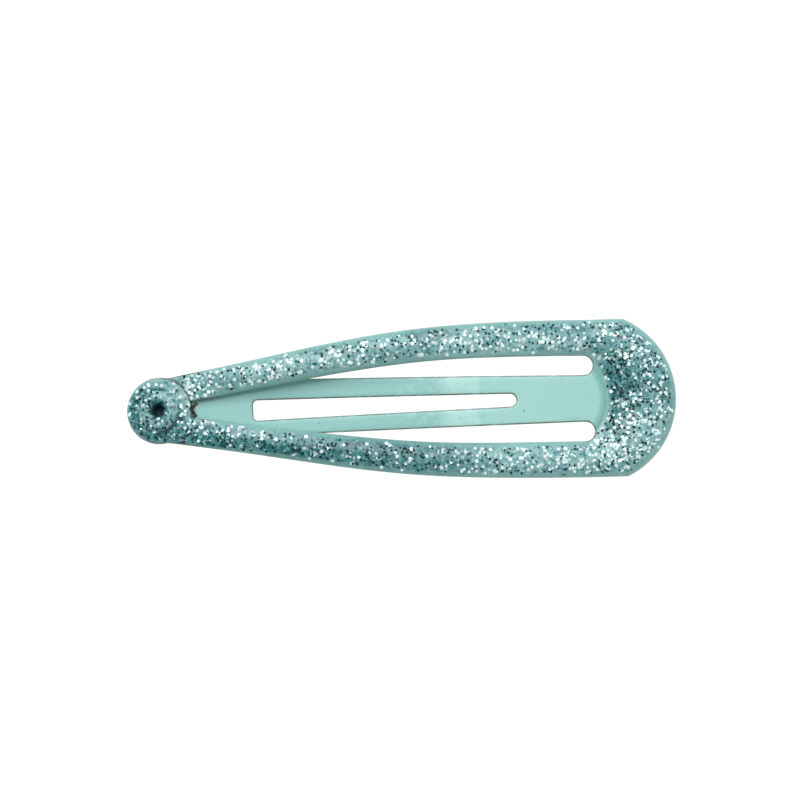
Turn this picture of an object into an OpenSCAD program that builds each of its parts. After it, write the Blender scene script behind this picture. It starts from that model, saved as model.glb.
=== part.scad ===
// Snap hair clip. A ring-shaped sheet frame lies arched along X, narrow riveted tip at -X.
// Its two arms overlap at the tip, and the slotted tongue bends down at the wide end.

/* [Sheet] */
// Thickness of the enamelled steel sheet
sheet_t = 0.45; // [0.35:0.05:0.55]
// Height of the pressed crown, as a share of the width of the band that carries it
crown_share = 0.14; // [0.06:0.01:0.18]

/* [Frame outline] */
// Length of the whole clip
clip_len = 50; // [46:1:60]
// Width between the two corners of the wide end
clip_w = 14.4; // [13.6:0.2:17]
// Distance of those corners from the wide end
corner_back = 4.6; // [3.6:0.1:5.6]
// Radius of the round lobe at the tip of each arm
lobe_r = 3; // [2.8:0.1:3.3]
// Angle on the lobe where the arm's outer edge starts, from the clip's axis
notch_angle = 78; // [72:1:84]
// Angle at which the arms spread from the lobes
spread_angle = 9; // [7:0.5:11]
// Width of the gap between the arms where they leave the lobes
crotch_w = 1.45; // [1.1:0.05:1.9]
// Width of an arm beside the slots' round ends
arm_w = 3.3; // [2.9:0.1:3.5]
// Distance of the slots' round ends from the wide end
slot_back = 7.5; // [6.6:0.1:8.6]

/* [Arch] */
// Height of the arms' arch over the level wide end
arch_h = 2.8; // [2:0.1:3.4]
// Distance of the arch's top from the tip
apex_from_tip = 21.2; // [19:0.2:24]
// Length of the wide end that lies level
level_len = 6.5; // [5.6:0.1:7.4]
// Radius with which the arch runs out into the level wide end
heel_r = 8; // [5:0.5:12]
// Place of the wide end's ridge, as a share of its band from the rim
ridge_share = 0.4; // [0.34:0.01:0.5]

/* [Tongue] */
// Width of the tongue where its root's fillets start
tongue_root_w = 4.25; // [3.8:0.05:4.6]
// Width of the tongue at its widest place
tongue_w = 5; // [4.4:0.1:5.6]
// Distance of that widest place from the clip's tip
tongue_wide_at = 16; // [14:0.5:18]
// Bulge of the crease at the tongue's root towards the wide end
crease_bulge = 1.1; // [0.7:0.1:1.3]
// Rise of the tongue over the straight line between its ends
tongue_rise = 1; // [0.6:0.1:1.3]

/* [Slot in the tongue] */
// Distance of the slot's wider end from the clip's tip
slot_from_tip = 11.5; // [10.5:0.5:14]
// Distance of the slot's narrow end from the clip's wide end
slot_root_back = 14.6; // [12:0.2:18]
// Width of the slot at its wider end
slot_wide = 1.84; // [1.2:0.04:2.2]
// Width of the slot at its narrow end
slot_narrow = 1.18; // [0.8:0.02:1.6]
// Corner radius of the slot's wider end
slot_corner = 0.4; // [0.2:0.05:0.5]
// Angle by which the slot leans towards -Y at its wider end
slot_lean = 0.6; // [0:0.1:1.5]

/* [Eyelet] */
// Radius of the hole through the eyelet
hole_r = 0.55; // [0.4:0.05:0.65]
// Wall of the eyelet's barrel
barrel_wall = 0.25; // [0.15:0.05:0.35]
// Outer radius of the rolled ring on top
ring_r = 1.85; // [1.6:0.05:2.1]
// Height of the rolled ring on top
ring_h = 0.3; // [0.2:0.05:0.4]
// Outer radius of the flare below
flare_r = 1.6; // [1.3:0.05:1.8]
// Height of the flare below
flare_h = 0.2; // [0.1:0.05:0.3]

/* [Clearances] */
// Gap between the two lobes, and between the lobes and the eyelet
seat_gap = 0.05; // [0.03:0.01:0.08]
// Gap along the crease between the tongue and the frame
crease_gap = 0.14; // [0.12:0.01:0.18]
// Gap between the tongue's tip and the lobe over it
tip_gap = 0.1; // [0.06:0.02:0.2]
// Gap between the tongue's tip and the eyelet, seen from above
eyelet_gap = 0.35; // [0.25:0.05:0.6]

/* [Hidden] */
$fn = 96;
mint = "#98d0c6";
mint_shade = "#8ccbc1";
glitter_mint = "#7fb4b5";

// Chords across a lobe, stations along an arm, and stations round half of the wide end
lobe_steps = 16;
arm_steps = 22;
crease_steps = 4;
corner_steps = 5;
// Strips across the frame's band, from its outer to its inner edge
band_steps = 7;
// Points along the tongue's rounded shoulder
shoulder_steps = 14;
// Half the angle of the small flat that closes a lobe's chords
lobe_flat_angle = 4;
// Reach of the cutting shapes past what they cut
over = 2;
// Fineness of the tongue's long, shallow arc
arc_fn = 720;

tip_x = -clip_len / 2;
end_x = clip_len / 2;
lobe_x = tip_x + lobe_r;
corner_x = end_x - corner_back;
rim_r = (pow(corner_back, 2) + pow(clip_w / 2, 2)) / (2 * corner_back);
rim_x = end_x - rim_r;
corner_angle = atan2(clip_w / 2, corner_x - rim_x);
crotch_angle = asin(crotch_w / 2 / lobe_r);

// Round ends of the gaps between the arms and the tongue
arm_in_y = clip_w / 2 - arm_w;
slot_end_r = (arm_in_y - tongue_root_w / 2) / 2;
slot_end_y = arm_in_y - slot_end_r;
slot_end_x = end_x - slot_back;
slot_turn_x = slot_end_x - slot_end_r;

// Crease along the tongue's root: an arc from one slot's end to the other's
crease_r = (pow(slot_end_y, 2) + pow(crease_bulge, 2)) / (2 * crease_bulge);
crease_x = slot_end_x + crease_bulge;
crease_cx = crease_x - crease_r;
crease_angle = asin(slot_end_y / crease_r);

// Side view: an arc up from the tip, an arc down to the heel, and a fillet into the level end
lobe_lift = (sheet_t + seat_gap) / 2;
level_x = end_x - level_len;
apex_x = tip_x + apex_from_tip;
tip_arc_r = (pow(apex_from_tip, 2) + pow(arch_h - lobe_lift, 2)) / (2 * (arch_h - lobe_lift));
heel_run = level_x - apex_x;
heel_arc_r = (pow(heel_run, 2) + pow(arch_h, 2)) / (2 * arch_h) - heel_r;
heel_x = apex_x + heel_run * heel_arc_r / (heel_arc_r + heel_r);
lobe_tilt = asin((apex_x - lobe_x) / tip_arc_r);

// Behind the lobes the arms come level with each other and gain their crown, over these lengths
lobe_clear = 0.2;
part_x = lobe_x + lobe_r + lobe_clear;
part_len = 3.2 * lobe_r;
crown_len = 1.3 * lobe_r;

function bezier(a, b, c, d, q) =
  pow(1 - q, 3) * a + 3 * pow(1 - q, 2) * q * b + 3 * (1 - q) * q * q * c + pow(q, 3) * d;
function ease(q) = let (k = min(1, max(0, q))) k * k * (3 - 2 * k);
function polar(x, r, a) = [x + r * cos(a), r * sin(a)];
// Shares from 0 to 1 that lie closer together towards both ends
function drawn_in(q) = (q + (1 - cos(180 * q)) / 2) / 2;

// Height of the sheet's middle surface at the frame's edges
function arch_z(x) = sheet_t / 2 + (
  x < apex_x ? arch_h - tip_arc_r + sqrt(pow(tip_arc_r, 2) - pow(x - apex_x, 2)) :
  x < heel_x ? arch_h - heel_arc_r + sqrt(pow(heel_arc_r, 2) - pow(x - apex_x, 2)) :
  x < level_x ? heel_r - sqrt(pow(heel_r, 2) - pow(level_x - x, 2)) : 0);
function lift(x) = lobe_lift * (1 - ease((x - part_x) / part_len));

// Outer and inner edge of the half of the frame at +Y, from the wide end's middle to the lobe.
// A pull is the length of a curve's handle, as a share of the curve's run along X.
side_run = corner_x - polar(lobe_x, lobe_r, notch_angle)[0];
side_pull_tip = 0.47;
side_pull_end = 0.55;
function outer_side(q) =
  let (tip = polar(lobe_x, lobe_r, notch_angle), corner = [corner_x, clip_w / 2])
  bezier(corner, corner - side_pull_end * side_run * [1, 0],
    tip + side_pull_tip * side_run * [cos(spread_angle), sin(spread_angle)], tip, q);

inner_pull_tip = 0.58;
inner_pull_end = 0.41;
function inner_side(q) =
  let (tip = polar(lobe_x, lobe_r, crotch_angle), turn = [slot_turn_x, arm_in_y],
    run = turn[0] - tip[0])
  bezier(turn, turn - inner_pull_end * run * [1, 0],
    tip + inner_pull_tip * run * [cos(spread_angle), sin(spread_angle)], tip, q);

end_steps = crease_steps + corner_steps;
lobe_turn = 180 - (notch_angle - crotch_angle) / 2 - lobe_flat_angle;
outer_half = concat(
  [for (k = [0 : end_steps - 1]) polar(rim_x, rim_r, corner_angle * k / end_steps)],
  [for (k = [0 : arm_steps - 1]) outer_side(drawn_in(k / arm_steps))],
  [for (k = [0 : lobe_steps]) polar(lobe_x, lobe_r, notch_angle + lobe_turn * k / lobe_steps)]);
inner_half = concat(
  [for (k = [0 : crease_steps - 1]) polar(crease_cx, crease_r, crease_angle * k / crease_steps)],
  [for (k = [0 : corner_steps - 1]) [slot_turn_x, slot_end_y]
    + slot_end_r * [cos(90 * k / corner_steps), sin(90 * k / corner_steps)]],
  [for (k = [0 : arm_steps - 1]) inner_side(drawn_in(k / arm_steps))],
  [for (k = [0 : lobe_steps]) polar(lobe_x, lobe_r, crotch_angle - lobe_turn * k / lobe_steps)]);

// Share of the crown's height at share s of the band, highest at the given share
function crown_curve(s, ridge) = let (k = pow(s, ln(0.5) / ln(ridge))) 4 * k * (1 - k);

// One cross-section of the band: the upper surface from rim to inner edge, then the lower one back
function band_section(k, side) =
  let (
    outer = outer_half[k], inner = inner_half[k],
    width = norm(outer - inner),
    ridge = 0.5 + (ridge_share - 0.5) * ease((outer[0] - heel_x) / (end_x - heel_x)),
    row = [for (j = [0 : band_steps])
      let (s = j / band_steps, p = outer + s * (inner - outer),
        fade = ease((p[0] - part_x) / crown_len),
        z = arch_z(p[0]) - side * lift(p[0]) + crown_share * width * fade * crown_curve(s, ridge))
      [p[0], side * p[1], z]])
  concat([for (p = row) p + [0, 0, sheet_t / 2]],
    [for (j = [band_steps : -1 : 0]) row[j] - [0, 0, sheet_t / 2]]);

// The frame: both arms, the wide end and the two overlapping lobes, with the eyelet's bore
module frame() {
  half = len(outer_half);
  sections = concat([for (k = [half - 1 : -1 : 1]) band_section(k, -1)],
    [for (k = [0 : half - 1]) band_section(k, 1)]);
  ring = 2 * (band_steps + 1);
  count = len(sections);
  points = [for (section = sections) each section];
  // Each four-sided patch is split along its shorter diagonal
  walls = [for (i = [0 : count - 2], j = [0 : ring - 1])
    let (a = i * ring + j, b = i * ring + (j + 1) % ring, c = b + ring, d = a + ring)
    each norm(points[a] - points[c]) < norm(points[b] - points[d])
      ? [[a, b, c], [a, c, d]] : [[a, b, d], [b, c, d]]];
  caps = [[for (j = [ring - 1 : -1 : 0]) j], [for (j = [0 : ring - 1]) (count - 1) * ring + j]];
  color(glitter_mint)
    difference() {
      polyhedron(points, concat(walls, caps), convexity = 6);
      at_lobes() cylinder(r = hole_r + barrel_wall + seat_gap, h = 2 * over, center = true);
    }
}

// Places its children on the lobes' axis, at the middle of the stack
module at_lobes() {
  translate([lobe_x, 0, arch_z(lobe_x)]) rotate([0, -lobe_tilt, 0]) children();
}

// Tongue in side view: one shallow arc from under the lobes to the crease
tongue_tip_x = lobe_x + ring_r + eyelet_gap;
tongue_tip_z = arch_z(tongue_tip_x) - lift(tongue_tip_x) - sheet_t - tip_gap;
tongue_root_z = sheet_t / 2;
tongue_run = crease_x - tongue_tip_x;
tongue_drop = tongue_tip_z - tongue_root_z;
tongue_chord = norm([tongue_run, tongue_drop]);
tongue_arc_r = (pow(tongue_chord / 2, 2) + pow(tongue_rise, 2)) / (2 * tongue_rise);
tongue_arc_x = (crease_x + tongue_tip_x) / 2
  - (tongue_arc_r - tongue_rise) * tongue_drop / tongue_chord;
tongue_arc_z = (tongue_tip_z + tongue_root_z) / 2
  - (tongue_arc_r - tongue_rise) * tongue_run / tongue_chord;

// Lap of the tongue's blade into its root
root_lap = 0.1;
tongue_wide_x = tip_x + tongue_wide_at;
shoulder_pull = 0.6;
tip_bluntness = 0.8;
function shoulder(q) = bezier([tongue_wide_x, tongue_w / 2],
  [tongue_wide_x + shoulder_pull * (tongue_tip_x - tongue_wide_x), tongue_w / 2],
  [tongue_tip_x, tip_bluntness * tongue_w / 2], [tongue_tip_x, 0], q);

// The tongue's slot seen from above, drawn from the middle of its narrow end
module slot_plan() {
  narrow_x = end_x - slot_root_back - slot_narrow / 2;
  run = narrow_x - (tip_x + slot_from_tip);
  translate([narrow_x, 0]) rotate(slot_lean) {
    circle(d = slot_narrow);
    polygon([[slot_corner - run, slot_wide / 2], [0, slot_narrow / 2],
      [0, -slot_narrow / 2], [slot_corner - run, -slot_wide / 2]]);
    translate([-run, slot_corner - slot_wide / 2])
      square([2 * slot_corner, slot_wide - 2 * slot_corner]);
    for (side = [-1, 1])
      translate([slot_corner - run, side * (slot_wide / 2 - slot_corner)]) circle(r = slot_corner);
  }
}

// The tongue's root: filleted out to the slots' ends and cut off along the crease
module root_plan() {
  intersection() {
    translate([crease_cx, 0]) circle(r = crease_r - crease_gap);
    difference() {
      translate([slot_turn_x, -slot_end_y]) square([over + slot_end_r, 2 * slot_end_y]);
      for (side = [-1, 1])
        translate([slot_turn_x, side * slot_end_y]) circle(r = slot_end_r);
    }
  }
}

// The tongue, cut from its plan and its side view
module tongue() {
  half = [for (k = [0 : shoulder_steps]) shoulder(k / shoulder_steps)];
  root = [slot_turn_x + root_lap, tongue_root_w / 2];
  color(mint)
    intersection() {
      translate([0, 0, -over]) linear_extrude(arch_h + 2 * over) difference() {
        union() {
          polygon(concat([root], half,
            [for (k = [shoulder_steps - 1 : -1 : 0]) [half[k][0], -half[k][1]]],
            [[root[0], -root[1]]]));
          root_plan();
        }
        slot_plan();
      }
      translate([tongue_arc_x, 0, tongue_arc_z]) rotate([90, 0, 0])
        linear_extrude(clip_w, center = true) difference() {
          circle(r = tongue_arc_r + sheet_t / 2, $fn = arc_fn);
          circle(r = tongue_arc_r - sheet_t / 2, $fn = arc_fn);
        }
    }
}

// Section of a rolled ring that stands on the line y = 0, from the hole to its outer radius
module roll_section(outer_r, height) {
  half = (outer_r - hole_r) / 2;
  roll_r = (pow(half, 2) + pow(height, 2)) / (2 * height);
  intersection() {
    translate([hole_r + half, height - roll_r]) circle(r = roll_r);
    translate([hole_r, 0]) square([2 * half, height + over]);
  }
}

// The hollow eyelet that holds the two lobes together
module eyelet() {
  // Half the height between the rolled ring and the flare: half the gap, a lobe and a seat's gap
  stack = seat_gap / 2 + sheet_t + seat_gap;
  color(mint_shade)
    at_lobes() rotate_extrude() {
      translate([hole_r, -stack]) square([barrel_wall, 2 * stack]);
      translate([0, stack]) roll_section(ring_r, ring_h);
      mirror([0, 1]) translate([0, stack]) roll_section(flare_r, flare_h);
    }
}

frame();
tongue();
eyelet();
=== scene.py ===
"""Snap hair clip: its painted sheet, cut edges, eyelet and glitter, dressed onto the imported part."""
import math

import bpy
import numpy as np
from bpy.props import FloatProperty, FloatVectorProperty, IntProperty, PointerProperty
from mathutils import Matrix, Vector
from mathutils.geometry import delaunay_2d_cdt


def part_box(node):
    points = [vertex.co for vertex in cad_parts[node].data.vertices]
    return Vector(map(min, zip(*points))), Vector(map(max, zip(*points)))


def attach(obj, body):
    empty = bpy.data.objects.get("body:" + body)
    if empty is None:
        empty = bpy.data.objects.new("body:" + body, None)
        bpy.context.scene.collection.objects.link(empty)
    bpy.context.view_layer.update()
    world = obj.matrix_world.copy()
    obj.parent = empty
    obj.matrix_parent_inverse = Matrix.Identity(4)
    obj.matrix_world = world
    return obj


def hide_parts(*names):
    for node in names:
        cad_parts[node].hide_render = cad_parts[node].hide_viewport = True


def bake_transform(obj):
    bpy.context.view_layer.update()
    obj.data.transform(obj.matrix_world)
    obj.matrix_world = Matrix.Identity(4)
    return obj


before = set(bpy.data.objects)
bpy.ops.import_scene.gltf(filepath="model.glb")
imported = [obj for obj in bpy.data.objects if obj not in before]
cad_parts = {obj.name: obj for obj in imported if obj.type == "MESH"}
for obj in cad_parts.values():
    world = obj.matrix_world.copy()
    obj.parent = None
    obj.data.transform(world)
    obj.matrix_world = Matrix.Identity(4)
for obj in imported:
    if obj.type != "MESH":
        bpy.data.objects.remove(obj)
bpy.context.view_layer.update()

bl_info = {
    "name": "Snap Hair Clip",
    "version": (1, 0, 0),
    "blender": (4, 5, 0),
    "location": "3D View > Sidebar > Hair Clip",
    "description": "Builds a glitter snap hair clip over its packed frame, tongue and eyelet",
    "category": "Object",
}

MM = 0.001
FRAME_LOW, FRAME_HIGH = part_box("frame")
# Points that are measured at one time, so that the arrays stay small
BATCH = 4000


def length(name, description, default):
    """A length in metres, shown in the scene's own unit."""
    return FloatProperty(name=name, description=description, default=default,
                         min=0.0, precision=5, subtype="DISTANCE", unit="LENGTH")


def angle(name, description, degrees):
    """An angle, kept in radians."""
    return FloatProperty(name=name, description=description, default=math.radians(degrees),
                         subtype="ANGLE", unit="ROTATION")


def share(name, description, default):
    """A plain share or factor."""
    return FloatProperty(name=name, description=description, default=default, precision=3)


def paint(name, description, hex_colour):
    """A colour picked as sRGB hex and kept as the linear values that a shader takes."""
    return FloatVectorProperty(name=name, description=description, size=3, subtype="COLOR",
                               min=0.0, max=1.0, default=linear(hex_colour)[:3])


def linear(hex_colour):
    """The linear RGBA of an sRGB hex colour."""
    parts = [int(hex_colour[i:i + 2], 16) / 255 for i in (1, 3, 5)]
    return tuple(p / 12.92 if p <= 0.04045 else ((p + 0.055) / 1.055) ** 2.4 for p in parts) + (1.0,)


class SheetSizes(bpy.types.PropertyGroup):
    """Sizes of the stamped sheet's frame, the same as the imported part's."""

    thickness: length("Sheet thickness", "Painted steel sheet", 0.45 * MM)
    crown_share: share("Crown share", "Height of the pressed crown over its band's width", 0.14)
    clip_length: length("Length", "Whole clip, tip to wide end", 50 * MM)
    clip_width: length("Width", "Between the wide end's corners", FRAME_HIGH.y - FRAME_LOW.y)
    corner_back: length("Corner setback", "From the wide end to its corners", 4.6 * MM)
    lobe_radius: length("Lobe radius", "Round lobe at each arm's tip", 3 * MM)
    notch_angle: angle("Notch angle", "Where the outer edge leaves the lobe", 78)
    spread_angle: angle("Spread", "Angle at which the arms leave the lobes", 9)
    crotch_width: length("Crotch width", "Gap between the arms at the lobes", 1.45 * MM)
    arm_width: length("Arm width", "Beside the slots' round ends", 3.3 * MM)
    slot_back: length("Slot setback", "From the wide end to the slots' round ends", 7.5 * MM)
    arch_height: length("Arch height", "Arms' arch over the level wide end", 2.8 * MM)
    apex_from_tip: length("Arch top", "From the tip to the arch's top", 21.2 * MM)
    level_length: length("Level length", "Wide end that lies level", 6.5 * MM)
    heel_radius: length("Heel radius", "Where the arch runs out into the level end", 8 * MM)
    ridge_share: share("Ridge share", "Ridge of the wide end, from the rim", 0.4)
    seat_gap: length("Seat gap", "Between the two lobes", 0.05 * MM)
    edge_radius: length("Edge radius", "Rounding that the paint gives the sheet's edges", 0.18 * MM)
    crease_soft: length("Soft crease", "Over which the crown starts beside the crease", 0.9 * MM)


class TongueSizes(bpy.types.PropertyGroup):
    """Sizes of the slotted tongue."""

    root_width: length("Root width", "Where the root's fillets start", 4.25 * MM)
    width: length("Width", "At its widest place", 5 * MM)
    wide_at: length("Widest place", "From the clip's tip", 16 * MM)
    crease_bulge: length("Crease bulge", "Bulge of the root's crease", 1.1 * MM)
    rise: length("Rise", "Rise over the straight line between its ends", 1 * MM)
    tip_gap: length("Tip gap", "Under the lobe", 0.1 * MM)
    eyelet_gap: length("Eyelet gap", "Seen from above", 0.35 * MM)
    slot_from_tip: length("Slot's wide end", "From the clip's tip", 11.5 * MM)
    slot_root_back: length("Slot's narrow end", "From the clip's wide end", 14.6 * MM)
    slot_wide: length("Slot width, wide end", "Across the slot", 1.84 * MM)
    slot_narrow: length("Slot width, narrow end", "Across the slot", 1.18 * MM)
    slot_corner: length("Slot corner", "Radius at the wide end", 0.4 * MM)
    slot_lean: angle("Slot lean", "Towards -Y at the wider end", 0.6)
    seat_length: length("Seat length", "Over which the tongue meets the crease", 2 * MM)


class EyeletSizes(bpy.types.PropertyGroup):
    """Sizes of the rolled eyelet."""

    hole_radius: length("Hole radius", "Open bore", 0.55 * MM)
    wall: length("Barrel wall", "Wall of the barrel", 0.25 * MM)
    ring_radius: length("Ring radius", "Rolled ring on top", 1.85 * MM)
    ring_height: length("Ring height", "Rolled ring on top", 0.3 * MM)
    flare_radius: length("Flare radius", "Flare below", 1.6 * MM)
    flare_height: length("Flare height", "Flare below", 0.2 * MM)


class GlitterLook(bpy.types.PropertyGroup):
    """The coat of glitter on the frame and the eyelet."""

    seed: IntProperty(name="Seed", description="Start of the random draws", default=11)
    silver_radius: length("Silver flake", "Corner radius of a bright flake", 0.175 * MM)
    teal_radius: length("Teal flake", "Corner radius of a middle flake", 0.15 * MM)
    deep_radius: length("Deep flake", "Corner radius of a dark flake", 0.135 * MM)
    flake_thickness: length("Flake thickness", "Foil", 0.02 * MM)
    tilt: angle("Tilt", "Usual tilt of a flake in the coat", 9)
    arm_density: share("Flakes per mm2 on the arms", "Where the coat is full", 9.0)
    end_density: share("Flakes per mm2 at the ends", "Wide end and lobes", 15.0)
    silver: paint("Silver", "Bright flakes, at their brightest", "#ecffff")
    silver_dim: paint("Dim silver", "Bright flakes, at their dullest", "#e0f8f8")
    teal_pale: paint("Pale teal", "Middle flakes, at their brightest", "#93c4c5")
    teal: paint("Teal", "Middle flakes, at their dullest", "#408a8f")
    deep: paint("Deep teal", "Dark flakes, at their brightest", "#0f4f53")
    deep_dark: paint("Darkest teal", "Dark flakes, at their dullest", "#042e31")
    green: paint("Green", "The one stray flake", "#7d9a5c")


class PaintLook(bpy.types.PropertyGroup):
    """Colours of the enamel and of the bare edges."""

    mint: paint("Mint", "Enamel of the sheet", "#a0d6cd")
    # Pale mint is also a painted highlight, in the stretch where the tongue bends
    mint_pale: paint("Pale mint", "Rubbed band across the tongue", "#b2e0d9")
    # Greyed mint also paints shade over the tongue's left part
    mint_grey: paint("Greyed mint", "Smudged enamel", "#8cc3be")
    mint_deep: paint("Deep mint", "Enamel of the frame under its clear coat", "#8cbfb9")
    mint_cloud: paint("Clouded mint", "Darker clouds in the frame's enamel", "#82b3af")
    # The coat's pale haze is partly fine silver and partly a painted sheen of the glossy coat
    coat: paint("Glitter coat", "Haze of fine silver in the clear coat", "#90bcbd")
    # The pooled coat's teal and its dark blots also paint shade on the sides away from the lights
    pool: paint("Pooled coat", "Where the coat lies thick", "#266f73")
    blot: paint("Blots", "Dark blots in the pooled coat", "#144f53")
    # Painted shade in the crevices: round the eyelet's foot, along the lobe's seam and in the bore
    crevice_shade: paint("Gathered coat", "Round the eyelet's foot and along the lobe's seam", "#0c3d41")
    edge: paint("Cut edge", "Sheared steel edge under thin paint", "#7d837a")
    edge_brown: paint("Brown edge", "Where the paint on the edge is thinnest", "#6a5f58")
    bare: paint("Bare steel", "Where the enamel has chipped", "#2f2826")


def ease(share_of_way):
    """Smooth step from 0 to 1."""
    k = np.clip(share_of_way, 0.0, 1.0)
    return k * k * (3 - 2 * k)


def bezier(a, b, c, d, q):
    """Points of a cubic curve at the shares q."""
    q = np.asarray(q, float)[:, None]
    a, b, c, d = (np.asarray(p, float) for p in (a, b, c, d))
    return (1 - q) ** 3 * a + 3 * (1 - q) ** 2 * q * b + 3 * (1 - q) * q * q * c + q ** 3 * d


def polar(x, radius, turn, y=0.0):
    """Points on a circle round (x, y)."""
    turn = np.asarray(turn, float)
    return np.stack([x + radius * np.cos(turn), y + radius * np.sin(turn)], -1)


def drawn_in(q):
    """Shares from 0 to 1 that lie closer together towards both ends."""
    return (q + (1 - np.cos(math.pi * q)) / 2) / 2


def unit(rows):
    """Rows scaled to length 1."""
    return rows / np.maximum(np.linalg.norm(rows, axis=-1, keepdims=True), 1e-12)


def distance_to(line, points):
    """Plan distance of each point to an open line of points."""
    flat = np.asarray(points, float).reshape(-1, 2)
    a, b = line[:-1], line[1:]
    run = b - a
    size = np.maximum((run ** 2).sum(1), 1e-18)
    best = np.full(len(flat), np.inf)
    for start in range(0, len(flat), BATCH):
        p = flat[start:start + BATCH, None, :]
        t = np.clip(((p - a) * run).sum(2) / size, 0, 1)
        best[start:start + BATCH] = np.linalg.norm(p - a - t[..., None] * run, axis=2).min(1)
    return best.reshape(np.shape(points)[:-1])


class ClipShape:
    """The clip's outlines and heights, worked out from the sizes above."""

    # Points along the crease, the slot's round end, an arm's side, the lobe and a rounded edge
    crease_steps, corner_steps, side_steps, lobe_steps, edge_steps = 16, 20, 110, 56, 5
    # Most of the band's width that one rounded edge takes
    widest_edge = 0.35
    # Angle that each of the lobe's two arcs leaves open where they would meet
    lobe_flat = math.radians(1.0)
    # From the lobe's rim to where the arms start to come level and to be crowned
    lobe_clear = 0.2 * MM
    # Lobe radii over which the arms come level, and over which the crown rises
    level_reach, crown_reach = 3.2, 1.3
    # Handles of an arm's outer and inner curve, as shares of their run: at the tip, at the wide end
    side_pulls = (0.47, 0.55)
    inner_pulls = (0.58, 0.41)
    # Handles of the tongue's shoulder, as shares: along its side, and across its tip
    shoulder_pull, tip_bluntness = 0.6, 0.8

    def __init__(self, sheet, tongue, eyelet):
        self.t, self.r_edge = sheet.thickness, sheet.edge_radius
        self.crown = sheet.crown_share
        self.width = sheet.clip_width
        self.tip_x = -sheet.clip_length / 2
        self.end_x = sheet.clip_length / 2
        self.lobe_r = sheet.lobe_radius
        self.lobe_x = self.tip_x + self.lobe_r
        self.corner_x = self.end_x - sheet.corner_back
        half = self.width / 2
        self.rim_r = (sheet.corner_back ** 2 + half ** 2) / (2 * sheet.corner_back)
        self.rim_x = self.end_x - self.rim_r
        self.corner_turn = math.atan2(half, self.corner_x - self.rim_x)
        self.notch, self.spread = sheet.notch_angle, sheet.spread_angle
        self.crotch = math.asin(sheet.crotch_width / 2 / self.lobe_r)
        self.arm_in_y = half - sheet.arm_width
        self.slot_end_r = (self.arm_in_y - tongue.root_width / 2) / 2
        self.slot_end_y = self.arm_in_y - self.slot_end_r
        self.slot_end_x = self.end_x - sheet.slot_back
        self.slot_turn_x = self.slot_end_x - self.slot_end_r
        bulge = tongue.crease_bulge
        self.crease_r = (self.slot_end_y ** 2 + bulge ** 2) / (2 * bulge)
        self.crease_x = self.slot_end_x + bulge
        self.crease_cx = self.crease_x - self.crease_r
        self.crease_turn = math.asin(self.slot_end_y / self.crease_r)
        self.lobe_lift = (self.t + sheet.seat_gap) / 2
        self.arch = sheet.arch_height
        self.level_x = self.end_x - sheet.level_length
        self.apex_x = self.tip_x + sheet.apex_from_tip
        rise = self.arch - self.lobe_lift
        self.tip_arc_r = (sheet.apex_from_tip ** 2 + rise ** 2) / (2 * rise)
        self.heel_r = sheet.heel_radius
        run = self.level_x - self.apex_x
        self.heel_arc_r = (run ** 2 + self.arch ** 2) / (2 * self.arch) - self.heel_r
        self.heel_x = self.apex_x + run * self.heel_arc_r / (self.heel_arc_r + self.heel_r)
        self.lobe_tilt = math.asin((self.apex_x - self.lobe_x) / self.tip_arc_r)
        self.part_x = self.lobe_x + self.lobe_r + self.lobe_clear
        self.part_len = self.level_reach * self.lobe_r
        self.crown_len = self.crown_reach * self.lobe_r
        self.ridge_share = sheet.ridge_share
        self.seat_gap, self.crease_soft = sheet.seat_gap, sheet.crease_soft
        self.stack = self.seat_gap * 1.5 + self.t
        self.set_outlines()
        self.set_tongue(tongue, eyelet)

    def set_outlines(self):
        """The plan of the frame's half at +Y: outer and inner edge, point for point."""
        tip = polar(self.lobe_x, self.lobe_r, self.notch)
        corner = np.array([self.corner_x, self.width / 2])
        run = corner[0] - tip[0]
        lean = np.array([math.cos(self.spread), math.sin(self.spread)])
        q = drawn_in(np.arange(self.side_steps) / self.side_steps)
        side = bezier(corner, corner - [self.side_pulls[1] * run, 0],
                      tip + self.side_pulls[0] * run * lean, tip, q)
        end_steps = self.crease_steps + self.corner_steps
        rim = polar(self.rim_x, self.rim_r, self.corner_turn * np.arange(end_steps) / end_steps)
        turn = math.pi - (self.notch - self.crotch) / 2 - self.lobe_flat
        lobe_q = np.arange(self.lobe_steps + 1) / self.lobe_steps
        lobe = polar(self.lobe_x, self.lobe_r, self.notch + turn * lobe_q)
        self.outer = np.concatenate([rim, side, lobe])

        tip = polar(self.lobe_x, self.lobe_r, self.crotch)
        start = np.array([self.slot_turn_x, self.arm_in_y])
        run = start[0] - tip[0]
        inner_side = bezier(start, start - [self.inner_pulls[1] * run, 0],
                            tip + self.inner_pulls[0] * run * lean, tip, q)
        crease = polar(self.crease_cx, self.crease_r,
                       self.crease_turn * np.arange(self.crease_steps) / self.crease_steps)
        slot_end = polar(self.slot_turn_x, self.slot_end_r,
                         math.pi / 2 * np.arange(self.corner_steps) / self.corner_steps,
                         self.slot_end_y)
        lobe = polar(self.lobe_x, self.lobe_r, self.crotch - turn * lobe_q)
        self.inner = np.concatenate([crease, slot_end, inner_side, lobe])
        # The edge that the paint rounds: all of it but the crease
        self.round_edge = np.concatenate([self.outer, self.inner[:self.crease_steps - 1:-1]])

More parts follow.
